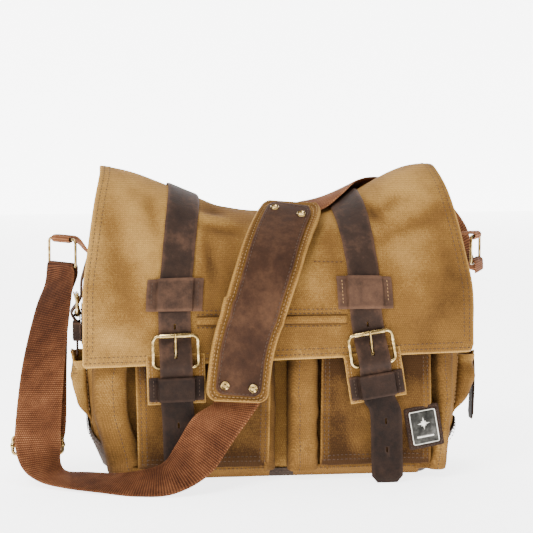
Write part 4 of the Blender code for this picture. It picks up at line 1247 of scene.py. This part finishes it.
def buckle(side, prefix, place, half_strap, out_w, out_h, roller, body, prong_body):
    """A brass buckle: rounded frame, leather loop, tapered prong and, if asked, a rolled sleeve."""
    half_w, half_h = out_w / 2 - WIRE, out_h / 2 - WIRE
    normal = place(0, 0, 1) - place(0, 0, 0)
    outline = rounded_rectangle(half_w, half_h, min(5 * MM, half_h * 0.45), 8, 6)
    path = [place(u, v, BUCKLE_D) for u, v in outline]
    wire(f"{prefix}_wire_{side}", path, normal, WIRE * 1.12, "brass", body, (f"{prefix}_frame_{side}",),
         sides=18)
    if roller:
        half_len = half_strap + 0.5 * MM
        profile = ((-half_len, ROLLER_R * 0.86), (-half_len + 0.4 * MM, ROLLER_R),
                   (half_len - 0.4 * MM, ROLLER_R), (half_len, ROLLER_R * 0.86),
                   (half_len, WIRE + CHAPE_GAP), (-half_len, WIRE + CHAPE_GAP))
        rings = [[place(u, half_h + r * math.cos(a), BUCKLE_D + r * math.sin(a)) for a in circle(28)]
                 for u, r in profile]
        loft(f"{prefix}_sleeve_{side}", rings, "brass", prong_body.replace("prong", "roller"),
             (f"{prefix}_roller_{side}",), closed=True)
    prong = brass_prong(f"{prefix}_tongue_{side}", place, half_h, ROLLER_R if roller else WIRE, prong_body)
    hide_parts(f"{prefix}_prong_{side}")
    chape(f"{prefix}_loop_{side}", place, half_h, half_strap, body, (f"{prefix}_chape_{side}",))


def card_sheet(name, place, half_u, low, high, depth, thickness, key, body, replaced, seed, margins, thread):
    """A flat sewn-on piece with worn edges and rows of stitches inside its border."""
    columns, count = 26, 24
    grid = []
    for r in range(count + 1):
        v = high + (low - high) * r / count
        row = []
        for c in range(columns + 1):
            u = half_u * (2 * c / columns - 1)
            row.append(place(u * (1 + 0.02 * wobble((0, v, 0), 90.0, seed)), v,
                             depth + 0.25 * MM * wobble((u, v, 0), 60.0, seed + 1)))
        grid.append(row)
    rim = [[min(min(r, count - r) * (high - low) / count, min(c, columns - c) * 2 * half_u / columns)
            for c in range(columns + 1)] for r in range(count + 1)]
    shade = [[0.22 * ease(1 - rim[r][c] / (1.6 * MM)) + 0.04 * wobble(grid[r][c], 90.0, seed)
              for c in range(columns + 1)] for r in range(count + 1)]
    card = sheet(name, grid, thickness, key, body, replaced, tone=lambda r, c: shade[r][c])
    if key == "canvas":
        declare_cloth(grid)
    out = place(0, 0, 1) - place(0, 0, 0)
    proud = depth + thickness * 0.62
    for margin in margins:
        for u in (-half_u + margin, half_u - margin):
            thread.row([place(u, low + margin + (high - low - 2 * margin) * k / 30, proud)
                        for k in range(31)], out)
        thread.row([place(-half_u + margin + 2 * (half_u - margin) * k / 30, low + margin, proud)
                    for k in range(31)], out)


FRONT_SETS = {
    # side: buckle centre x, lean, x on the ridge, tail points as (x, height, d)
    "left": (-90.5 * MM, math.radians(1.5), -77 * MM,
             ((-88.5 * MM, 62 * MM, 5.6 * MM), (-87.5 * MM, 32 * MM, 5.0 * MM),
              (-86.5 * MM, 1.5 * MM, 5.5 * MM))),
    "right": (78 * MM, math.radians(9), 66 * MM,
              ((90 * MM, 62 * MM, 5.6 * MM), (91.5 * MM, 32 * MM, 5.0 * MM), (92 * MM, 1 * MM, 6 * MM))),
}
BUCKLE_RUN = ((16 * MM, 1.6 * MM), (9.5 * MM, 1.7 * MM), (3 * MM, 4.3 * MM), (-3 * MM, 7.0 * MM),
              (-9 * MM, 9.9 * MM), (-13.6 * MM, 10.3 * MM), (-17.5 * MM, 8.4 * MM), (-22 * MM, 6.2 * MM),
              (-34 * MM, 5.6 * MM), (-45 * MM, 5.6 * MM))


def build_front_set(side):
    """One closure strap with its keepers, roller buckle and canvas tab."""
    centre_x, lean, ridge_x, tail = FRONT_SETS[side]
    place = front_frame(centre_x, lean)
    high = place(0, 30 * MM, 0)
    seed = 3.0 if side == "left" else 8.0

    def upper(u, t, d):
        share = ease((t - 0.5) / 0.5)
        return surface_point(ridge_x + (high.x - ridge_x) * share + u, t, d)

    def hanging(u, point, d):
        return Vector((point[0] + u, FRONT_Y - d, point[1]))

    def tail_hole(u, v, d):
        x = tail[0][0] + (tail[1][0] - tail[0][0]) * (62 * MM - v) / (30 * MM)
        return Vector((x + u, FRONT_Y - d, v))

    knots = [(upper, t / 20, STRAP_D) for t in range(3, 20)] + [(place, 30 * MM, STRAP_D + 0.9 * MM)]
    knots += [(place, v, d) for v, d in BUCKLE_RUN] + [(hanging, (x, z), d) for x, z, d in tail]
    holes = [(place, 0.3 * MM, 1.5 * MM, 6.2 * MM), (place, 21 * MM, 0.9 * MM, 2.4 * MM)]
    holes += [(tail_hole, height, 0.9 * MM, 2.6 * MM) for height in (54 * MM, 29 * MM)]
    leather_strap("closure_strap_leather_" + side, knots, FRONT_HALF, "flap", ("closure_strap_" + side,),
                  holes, seed)
    thread = Stitches("set_stitches_" + side, "thread_dark", "flap", 2.0 * MM, 1.1 * MM, 0.32 * MM)
    tan = Stitches("tab_stitches_" + side, "thread_tan", "flap", 2.0 * MM, 1.1 * MM, 0.32 * MM)
    # bright 0.16: painted light on the upper keeper
    keeper("upper_keeper_leather_" + side, (0.885, 0.995), upper, 23.5 * MM, FRONT_HALF, 0.4 * MM, 3.6 * MM,
           1.7 * MM, "flap", ("upper_keeper_" + side,), seed, tan if side == "right" else thread, 0.16)
    buckle(side, "buckle", place, FRONT_HALF, 41 * MM, 30 * MM, True, "flap", "prong_" + side)
    card_sheet("buckle_tab_canvas_" + side, place, 24.5 * MM, -45 * MM, -3 * MM, 1.0 * MM, 1.2 * MM, "canvas",
               "flap", ("buckle_tab_" + side,), seed, (1.8 * MM, 4.2 * MM), tan)
    # bright -0.10: painted shade on the lower keeper
    keeper("lower_keeper_leather_" + side, (-42 * MM, -22.5 * MM), place, 23 * MM, FRONT_HALF, 1.9 * MM,
           8.0 * MM, 1.8 * MM, "flap", ("lower_keeper_" + side,), seed + 1, thread, -0.10)
    thread.build()
    tan.build()


SIDE_TAILS = {
    "left": ((-40 * MM, 5.4 * MM), (-47 * MM, 5.4 * MM)),
    "right": ((-40 * MM, 8 * MM), (-46 * MM, 13 * MM), (-51 * MM, 18 * MM), (-57 * MM, 20 * MM),
              (-80 * MM, 20.5 * MM), (-110 * MM, 19.5 * MM)),
}
SIDE_RUN = ((44 * MM, -6 * MM), (32 * MM, -2 * MM), (20 * MM, 1.2 * MM), (10 * MM, 1.7 * MM),
            (6.5 * MM, 1.9 * MM), (0.0, 5.2 * MM), (-5 * MM, 8.9 * MM), (-8.6 * MM, 10.3 * MM),
            (-13 * MM, 8.2 * MM), (-17.5 * MM, 5.8 * MM), (-33 * MM, 5.4 * MM))


def build_side_set(side, sign):
    """One compression strap with its small buckle and keeper on a bag end."""
    place = side_frame(sign)
    seed = 5.0 + sign
    knots = [(place, v, d) for v, d in SIDE_RUN + SIDE_TAILS[side]]
    holes = [(place, -0.5 * MM, 1.4 * MM, 4.8 * MM)]
    leather_strap("side_strap_leather_" + side, knots, SIDE_HALF, "bag", ("side_strap_" + side,), holes,
                  seed, 3 * MM)
    thread = Stitches("side_set_stitches_" + side, "thread_dark", "bag", 1.8 * MM, 1.1 * MM, 0.28 * MM)
    buckle(side, "side_buckle", place, SIDE_HALF, 26 * MM, 20 * MM, False, "bag", "side_prong_" + side)
    card_sheet("side_tab_leather_" + side, place, 15.5 * MM, -36 * MM, -1 * MM, 1.0 * MM, 1.1 * MM,
               "strap_leather", "bag", ("side_tab_" + side,), seed, (1.8 * MM,), thread)
    keeper("side_keeper_leather_" + side, (-32 * MM, -16.5 * MM), place, 15 * MM, SIDE_HALF, 1.9 * MM,
           7.8 * MM, 1.6 * MM, "bag", ("side_keeper_" + side,), seed, thread)
    thread.build()


# ---------------------------------------------------------------- shoulder pad

PAD_LINE = ((0.57, 22 * MM), (0.667, 10 * MM), (0.833, -8 * MM), (1.0, -24.5 * MM), (1.2, -34 * MM),
            (1.51, -39.5 * MM))
PAD_BASE_D = 4.9 * MM
PAD_BASE_T = 8 * MM
PAD_FACE_D = 14.1 * MM
PAD_CORNER = 11 * MM
PAD_FACE_MARGIN = 7.5 * MM
# radius and height in mm of a cupped rivet, from its rim to its middle
RIVET_PROFILE = ((4.0, 0.0), (4.1, 0.5), (3.9, 1.2), (3.4, 1.6), (2.9, 1.35), (2.5, 0.75), (1.9, 0.55),
                 (1.2, 0.8), (0.4, 0.9))


def on_surface(centre_t, centre_x, u, d, slope):
    """A point u across a line on the flap, where slope is the line's lean from straight down."""
    span = 0.01
    step = surface_point(centre_x, centre_t + span) - surface_point(centre_x, centre_t - span)
    t = centre_t + u * math.sin(slope) * 2 * span / step.length
    return surface_point(centre_x + u * math.cos(slope), t, d)


def pad_station(share):
    """Centre and lean of the shoulder pad at a share of its length, from its upper end."""
    first, last = PAD_LINE[0][0], PAD_LINE[-1][0]
    t = first + (last - first) * share

    def centre(value):
        return knot_value(value, PAD_LINE, straight)[0]

    smooth = sum(centre(t + k * 0.04) for k in (-2, -1, 0, 1, 2)) / 5
    lean = math.atan2(centre(t - 0.09) - centre(t + 0.09),
                      (surface_point(smooth, t + 0.09) - surface_point(smooth, t - 0.09)).length)
    return t, smooth, lean


def pad_point(share, u, d):
    """A point of the pad: a share of its length, u across and d out from the flap."""
    t, x, lean = pad_station(share)
    return on_surface(t, x, u, d, lean)


def pad_half(along, half_w, margin, corner):
    """Half width of a rounded panel at a share of its own length."""
    end = min(along, 1 - along) * (PAD_LENGTH - 2 * margin)
    if end >= corner:
        return half_w
    return half_w - corner + math.sqrt(max(corner ** 2 - (corner - end) ** 2, 0.0))


def pad_shell(name, half_w, margin, near, far, key, replaced, rows, columns, puff, seed, rim_drop, bright):
    """A closed cushion along the pad's line: front and back skins that meet at a rounded edge."""
    corner = PAD_CORNER - margin * 0.4
    middle = (near + far) / 2
    fronts, backs, shades = [], [], []
    for r in range(rows + 1):
        along = 0.5 - 0.5 * math.cos(math.pi * r / rows)
        share = margin / PAD_LENGTH + along * (1 - 2 * margin / PAD_LENGTH)
        half = pad_half(along, half_w, margin, corner)
        front, back, shade = [], [], []
        for c in range(columns + 1):
            s = math.sin(math.pi * (c / columns - 0.5))
            u = half * s
            rim = min(half - abs(u), min(along, 1 - along) * (PAD_LENGTH - 2 * margin))
            round_off = math.sqrt(max(1 - (1 - min(rim / rim_drop, 1.0)) ** 2, 0.0))
            bump = puff(share, u, rim) + 0.25 * MM * wobble((u, share * PAD_LENGTH, 0), 90.0, seed)
            front.append(pad_point(share, u, middle + (far - middle + bump) * round_off))
            back.append(pad_point(share, u, middle + (near - middle) * round_off))
            shade.append(bright(share, u, rim))
        fronts.append(front)
        backs.append(back)
        shades.append(shade)
    verts = [p for row in fronts for p in row] + [p for row in backs for p in row]
    tones = [s for row in shades for s in row] * 2
    count, width = rows + 1, columns + 1
    size = count * width
    faces = skin_faces(count, width)
    border = [r * width + c for r, c in grid_border(count, width)]
    for a, b in zip(border, border[1:] + border[:1]):
        faces.append((a, size + a, size + b, b))
    return new_piece(name, verts, faces, key, "shoulder_strap", replaced, tones)


def groove(rim, middle, width):
    """1 in the middle of a groove that runs along the rim, fading to 0 on both sides."""
    return math.exp(-((rim - middle) / width) ** 2)


def build_pad():
    """The shoulder pad: padded canvas base, stitched leather face and four cupped rivets."""
    def base_puff(_share, _u, rim):
        ditch = 0.9 * MM * (groove(rim, 5.2 * MM, 0.8 * MM) + groove(rim, 7.6 * MM, 0.8 * MM))
        return 0.9 * MM * ease(rim / (3 * MM)) * (1 - ease((rim - 2.6 * MM) / (3 * MM))) - ditch

    def base_bright(_share, _u, rim):
        pale = 0.20 * ease(1 - abs(rim - 1.2 * MM) / (2.4 * MM))
        # painted shade in the stitch grooves; the pale band at the rim is wear
        ditch = 0.16 * (groove(rim, 5.2 * MM, 0.7 * MM) + groove(rim, 2.9 * MM, 0.6 * MM))
        return pale - ditch + 0.02

    cushion = pad_shell("pad_canvas", PAD_HALF_W, 0.0, PAD_BASE_D, PAD_BASE_D + PAD_BASE_T, "canvas",
                        ("pad_base",), 110, 52, base_puff, 2.0, 3.4 * MM, base_bright)

    def face_puff(share, u, rim):
        return 0.5 * MM * ease(rim / (9 * MM)) + 0.35 * MM * wobble((u, share * PAD_LENGTH, 0), 35.0, 4.0)

    def face_bright(share, u, rim):
        rub = 0.20 * ease(1 - rim / (1.4 * MM))
        fold = 0.06 * wobble((u * 2.2, share * PAD_LENGTH, 0), 30.0, 6.0)
        sweep_light = 0.05 * math.sin(math.pi * (0.5 + u / (2 * PAD_HALF_W)))
        return rub + fold + sweep_light

    pad_shell("pad_face", PAD_HALF_W - PAD_FACE_MARGIN, PAD_FACE_MARGIN, PAD_BASE_D + PAD_BASE_T - 0.2 * MM,
              PAD_FACE_D + 1.7 * MM, "pad_leather", ("pad_leather",), 90, 34, face_puff, 3.0, 1.5 * MM,
              face_bright)
    tan = Stitches("pad_stitches", "thread_tan", "shoulder_strap", 2.3 * MM, 1.2 * MM, 0.36 * MM)
    dark = Stitches("pad_face_stitches", "thread_dark", "shoulder_strap", 2.3 * MM, 1.2 * MM, 0.34 * MM)
    for thread, inset, d in ((tan, 3.0 * MM, PAD_BASE_D + PAD_BASE_T + 0.5 * MM),
                             (tan, 5.4 * MM, PAD_BASE_D + PAD_BASE_T - 0.1 * MM),
                             (dark, 9.8 * MM, PAD_FACE_D + 2.0 * MM)):
        corner = max(PAD_CORNER - inset * 0.5, 3 * MM)
        path, outs = [], []
        outline = rounded_rectangle(PAD_HALF_W - inset, PAD_LENGTH / 2 - inset, corner, 8, 40)
        for u, v in outline + outline[:1]:
            share = 0.5 - v / PAD_LENGTH
            path.append(pad_point(share, u, d))
            outs.append(pad_point(share, u, d + 1 * MM) - path[-1])
        thread.row(path, outs.__getitem__)
    tan.build()
    dark.build()
    number = 1
    for share in (0.10, 0.90):
        for u in (-12 * MM, 12 * MM):
            t, x, lean = pad_station(share)
            low = on_surface(t, x, u, PAD_FACE_D + 1.9 * MM, lean)
            axis = (on_surface(t, x, u, PAD_FACE_D + 4 * MM, lean) - low).normalized()
            across = axis.orthogonal().normalized()
            other = axis.cross(across)
            rings = [circle_points(low + axis * h * MM, r * MM, across, other, 32) for r, h in RIVET_PROFILE]
            loft(f"pad_cup_rivet_{number}", rings, "brass", "shoulder_strap", (f"pad_rivet_{number}",))
            number += 1


# ---------------------------------------------------------------- shoulder webbing

WEB_COLUMNS = [WEB_W * (k / 4 - 0.5) for k in range(5)]


def flat_rows(knots):
    """Rows of points across a strap at (centre, rough side direction) knots."""
    rows = []
    for i, (centre, side) in enumerate(knots):
        along = (knots[min(i + 1, len(knots) - 1)][0] - knots[max(i - 1, 0)][0]).normalized()
        across = (side - along * side.dot(along)).normalized()
        rows.append([centre + across * u for u in WEB_COLUMNS])
    return rows


def ring_place(side):
    """The middle of a ring's upper bar and the direction of the bar, from the bag outwards."""
    if side == "left":
        return Vector((-184 * MM, HINGE_Y, HINGE_Z)), Vector((-0.57, 0.82, 0)).normalized()
    return Vector((203 * MM, HINGE_Y, HINGE_Z)), Vector((0.42, 0.91, 0)).normalized()


def half_turn(bar, side, radius):
    """Knots over a level bar, from its back to its front."""
    angles = [math.radians(180 * k / 6) for k in range(7)]
    back = Vector((abs(side.y), abs(side.x), 0)) * (1 if bar.x < 0 else -1)
    back.y = abs(back.y)
    return [(bar + radius * (back * math.cos(a) + Vector((0, 0, math.sin(a)))), side) for a in angles]


def scaled(knots):
    """Knots in metres from (centre in mm, side direction) pairs."""
    return [(Vector(p) * MM, Vector(w)) for p, w in knots]


def webbing_rows():
    """The strap from its sewn end at the slider, through the left ring, to the right ring."""
    left_bar, left_side = ring_place("left")
    right_bar, right_side = ring_place("right")
    left_bar = left_bar - Vector((0, 0, RING_DROP))
    right_bar = right_bar - Vector((0, 0, RING_DROP))
    loop = RING_WIRE + WEB_T / 2 + RING_CLEAR
    flat = (-1, 0, 0)
    left = scaled((
        ((-206, -27, 30), flat), ((-202, -17, 46), (-0.98, 0.18, 0)), ((-198, 14, 92), (-0.80, 0.60, 0)),
        ((-192, 44, 140), (-0.60, 0.80, 0)), ((-183, 60, 166), (-0.57, 0.82, 0)),
    ))
    left += half_turn(left_bar, left_side, loop)
    left += scaled((
        ((-187, 53, 166), (-0.60, 0.80, 0)), ((-193, 35, 144), (-0.74, 0.67, 0)),
        ((-202, 2, 96), (-0.93, 0.36, 0)), ((-207, -32, 48), (-1, 0.05, 0)),
        ((-207, -42, 30), (-1, -0.05, 0)),
        ((-204, -50, 15), (-0.86, -0.50, 0.05)), ((-194, -59, 7), (-0.48, -0.87, -0.10)),
        ((-174, -72, 6), (-0.26, -0.95, -0.17)), ((-147, -89, 6.5), (-0.20, -0.95, -0.22)),
        ((-121, -101, 8.5), (0.0, -0.93, -0.36)), ((-98, -108, 13.5), (0.17, -0.84, -0.52)),
        ((-78, -106, 28), (0.52, -0.50, -0.69)), ((-60, -99, 52), (0.78, -0.14, -0.60)),
        ((-45, -86, 76), (0.86, 0.0, -0.50)),
    ))
    rows = flat_rows(left)[:-1]
    for share in (1.02, 0.97, 0.85, 0.7, 0.55, 0.4, 0.3, 0.2, 0.1, 0.02):
        t, x, lean = pad_station(share)
        rows.append([on_surface(t, x, u, 2.8 * MM, lean) for u in WEB_COLUMNS])
    for x, t, d, lean in ((36, 0.53, 5.2, 44), (54, 0.46, 6.6, 57), (76, 0.34, 7.4, 64),
                          (102, 0.18, 6.8, 62)):
        rows.append([on_surface(t, x * MM, u, d * MM, math.radians(lean)) for u in WEB_COLUMNS])
    right = scaled((
        ((102, 69, 237), (0.47, 0.05, 0.88)),
        ((136, 70, 231), (0.52, 0.05, 0.85)), ((163, 74, 223), (0.70, 0.0, 0.71)),
        ((184, 74, 200), (0.85, 0.30, 0.42)), ((193, 69, 184), (0.60, 0.78, 0.15)),
        ((197, 62, 172), (0.45, 0.89, 0)),
    ))
    right += half_turn(right_bar, right_side, loop)
    right.append((right_bar + Vector((loop, -0.4 * loop, -8 * MM)), right_side))
    return rows + flat_rows(right)[1:]


def build_webbing():
    """The webbing as one ribbon with rounded selvedges."""
    columns = [smooth_path(column, 9) for column in zip(*webbing_rows())]
    coarse = list(zip(*columns))
    marks = running_lengths([row[2] for row in coarse])
    rows = [smooth_path(row, 4) for row in coarse]
    width = len(rows[0])
    shades = []
    for row in rows:
        line = []
        for c, p in enumerate(row):
            edge = abs(2 * c / (width - 1) - 1)
            wear = 0.09 * ease((edge - 0.86) / 0.14)
            # painted shade: under darkens the webbing beside the left end towards the back; ground darkens
            # the rest towards the floor
            under = -0.16 * ease((p.y + 20 * MM) / (40 * MM)) if p.x < -150 * MM else 0.0
            ground = -0.10 * ease((90 * MM - p.z) / (50 * MM)) if p.x > -180 * MM else -0.02
            line.append(wear + under + ground + 0.06 * wobble(p, 40.0, 5.0))
        shades.append(line)
    sheet("shoulder_strap_webbing", rows, WEB_T, "webbing", "shoulder_strap", ("shoulder_webbing",),
          tone=lambda r, c: shades[r][c], uv=lambda r, c: (marks[r], WEB_W * c / (width - 1)), edge=0.45)
    thread = Stitches("webbing_stitches", "thread_dark", "shoulder_strap", 2.2 * MM, 1.0 * MM, 0.4 * MM)
    for place in (24, 28):
        row = rows[place]
        across = (row[-1] - row[0]).normalized()
        along = (rows[place + 1][0] - row[0]).normalized()
        out = across.cross(along).normalized()
        out = out if out.y < 0 else -out
        thread.row([row[0].lerp(row[-1], 0.06 + 0.88 * k / 20) + out * (WEB_T / 2 + 0.2 * MM)
                    for k in range(21)], out)
    thread.build()


def build_rings():
    """The two rectangular wire rings, the webbing tabs that hold them and the strap's slide."""
    for side, sign in (("left", -1), ("right", 1)):
        bar, along = ring_place(side)
        middle = bar - Vector((0, 0, RING_DROP / 2))
        plane = along.cross(UP)
        outline = rounded_rectangle(RING_HALF_W, RING_DROP / 2, 4 * MM, 8, 6)
        wire("strap_ring_wire_" + side, [middle + along * u + Vector((0, 0, v)) for u, v in outline], plane,
             RING_WIRE, "brass", "shoulder_strap", ("strap_ring_" + side,), sides=14)
        inward = plane if plane.x * sign < 0 else -plane
        near = RING_WIRE + RING_CLEAR
        anchor = Vector((sign * 161 * MM, 44 * MM, HINGE_Z - 12 * MM))
        end_side = Vector((0.1 * sign, 1, 0)).normalized()
        spine = []
        for k in range(13):
            f = k / 12
            top = bar + inward * 1 * MM + Vector((0, 0, near))
            p = top.lerp(anchor, f) + Vector((0, 0, 5 * MM * math.sin(math.pi * f)))
            spine.append((p, along.lerp(end_side, ease(f))))
        spine.reverse()
        for k in range(1, 25):
            a = math.radians(90 - 10.5 * k)
            spine.append((bar - inward * near * math.cos(a) + Vector((0, 0, near * math.sin(a))), along))
        marks = running_lengths([p for p, _ in spine])
        rows = [[p + across * 13 * MM * (c / 7 - 1) for c in range(15)] for p, across in spine]
        loop = sheet("ring_tab_loop_" + side, rows, RING_TAB_T, "webbing", None, ("ring_tab_" + side,),
                     uv=lambda r, c: (marks[r], 2 * MM * c), tone=lambda r, c: 0.12, edge=0.45)
        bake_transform(loop)
    centre = Vector((-207.5, -33.5, 30)) * MM
    down = Vector((0, -0.50, -0.87)).normalized()
    side = Vector((1, 0, 0))
    outline = rounded_rectangle(SLIDE_HALF_W, SLIDE_HALF_H, 3 * MM, 8, 8)
    wire("slider_wire", [centre + side * u + down * v for u, v in outline], side.cross(down), 1.5 * MM,
         "brass", "shoulder_strap", ("slider",))
    for u in (-SLIDE_HALF_W, SLIDE_HALF_W):
        rings = []
        for k in range(9):
            a = math.pi * (k / 8 - 0.5)
            r, h = 2.5 * MM * max(math.cos(a), 0.12), 3.2 * MM * math.sin(a)
            rings.append([centre + side * (u + r * math.cos(b)) + down * h
                          + side.cross(down) * r * math.sin(b) for b in circle(16)])
        loft(f"slider_knob_{'left' if u < 0 else 'right'}", rings, "brass", "shoulder_strap")


def build_snaps():
    """The magnetic snaps hidden behind the two buckles."""
    for side in FRONT_SETS:
        place = front_frame(*FRONT_SETS[side][:2])
        snap = place(0, -SNAP_Z_BELOW_BUCKLE, 0)
        for name, body, start, end, r in (("snap_stud", "flap", FRONT_Y + 1.5 * MM, FRONT_Y, 7.0),
                                          ("snap_socket", "bag", POCKET_FACE_Y, FRONT_Y + 1.9 * MM, 7.5)):
            rings = [[Vector((snap.x + r * MM * s * math.cos(a), start + (end - start) * f,
                              snap.z + r * MM * s * math.sin(a))) for a in circle(36)]
                     for f, s in ((0.0, 1.0), (0.7, 1.0), (1.0, 0.9))]
            loft(f"{name}_disc_{side}", rings, "brass", body, (f"{name}_{side}",))


# ---------------------------------------------------------------- stage

def shine(material, strength):
    """Make a material glow white."""
    shader = material.node_tree.nodes["Principled BSDF"]
    shader.inputs["Emission Color"].default_value = (1.0, 1.0, 1.0, 1.0)
    shader.inputs["Emission Strength"].default_value = strength


def flat_screen(name, corners, material):
    """One flat four-sided sheet of the studio."""
    mesh = bpy.data.meshes.new(name)
    mesh.from_pydata(corners, [], [(0, 1, 2, 3)])
    mesh.materials.append(material)
    return add_object(name, mesh)


def area_light(name, place, size, power):
    """A soft rectangular light that looks at the bag."""
    data = bpy.data.lights.new(name, "AREA")
    data.shape = "RECTANGLE"
    data.size, data.size_y = size
    data.energy = power
    obj = add_object(name, data)
    obj.location = place
    obj.rotation_euler = (Vector(LIGHT_TARGET) - Vector(place)).to_track_quat("-Z", "Y").to_euler()
    return obj


STUDIO_HALF = 4.0
FLOOR_GLOW = 3.4
BACKDROP_GLOW = 5.0
WORLD_LIGHT = 0.5
LIGHT_TARGET = (0, -0.03, 0.13)
CAMERA_AIM = Vector((-0.0123, -0.08, 0.188))
CAMERA_AZIMUTH = math.radians(-7)
CAMERA_ELEVATION = math.radians(5)
CAMERA_DISTANCE = 1.5
CAMERA_LENS = 119
CAMERA_SENSOR = 36


def build_stage():
    """A glowing white floor and backdrop, soft lights and the camera."""
    half = STUDIO_HALF
    paper, _, shader = start_material("floor_white", 0.9)
    shader.inputs["Base Color"].default_value = (0.9, 0.9, 0.9, 1.0)
    shine(paper, FLOOR_GLOW)
    floor = flat_screen("floor", [(-half, -half, 0), (half, -half, 0), (half, half, 0),
                                  (-half, half, 0)], paper)
    key = area_light("key_light", (-1.0, -1.3, 1.9), (1.0, 1.0), 62)
    fill = area_light("fill_light", (1.7, -1.3, 0.9), (1.5, 1.5), 10)
    top = area_light("top_light", (0.1, 0.5, 2.2), (1.4, 1.4), 40)
    paper = start_material("backdrop_white", 0.5)[0]
    shine(paper, BACKDROP_GLOW)
    backdrop = flat_screen("backdrop", [(-half, half, -0.5), (half, half, -0.5), (half, half, half),
                                        (-half, half, half)], paper)
    world = bpy.data.worlds.new("studio")
    world.use_nodes = True
    back = world.node_tree.nodes["Background"]
    back.inputs["Color"].default_value = (1.0, 1.0, 1.0, 1.0)
    back.inputs["Strength"].default_value = WORLD_LIGHT
    bpy.context.scene.world = world
    level = math.cos(CAMERA_ELEVATION)
    away = Vector((math.sin(CAMERA_AZIMUTH) * level, -math.cos(CAMERA_AZIMUTH) * level,
                   math.sin(CAMERA_ELEVATION)))
    data = bpy.data.cameras.new("camera")
    data.lens = CAMERA_LENS
    data.sensor_width = CAMERA_SENSOR
    camera = add_object("camera", data)
    camera.location = CAMERA_AIM + away * CAMERA_DISTANCE
    camera.rotation_euler = (-away).to_track_quat("-Z", "Y").to_euler()
    bpy.context.scene.camera = camera


build_body()
build_base()
build_flap()
build_front_pockets()
build_side_pockets()
build_badge()
for bag_side, bag_sign in (("left", -1), ("right", 1)):
    build_front_set(bag_side)
    build_side_set(bag_side, bag_sign)
build_pad()
build_webbing()
build_rings()
build_snaps()
build_stage()
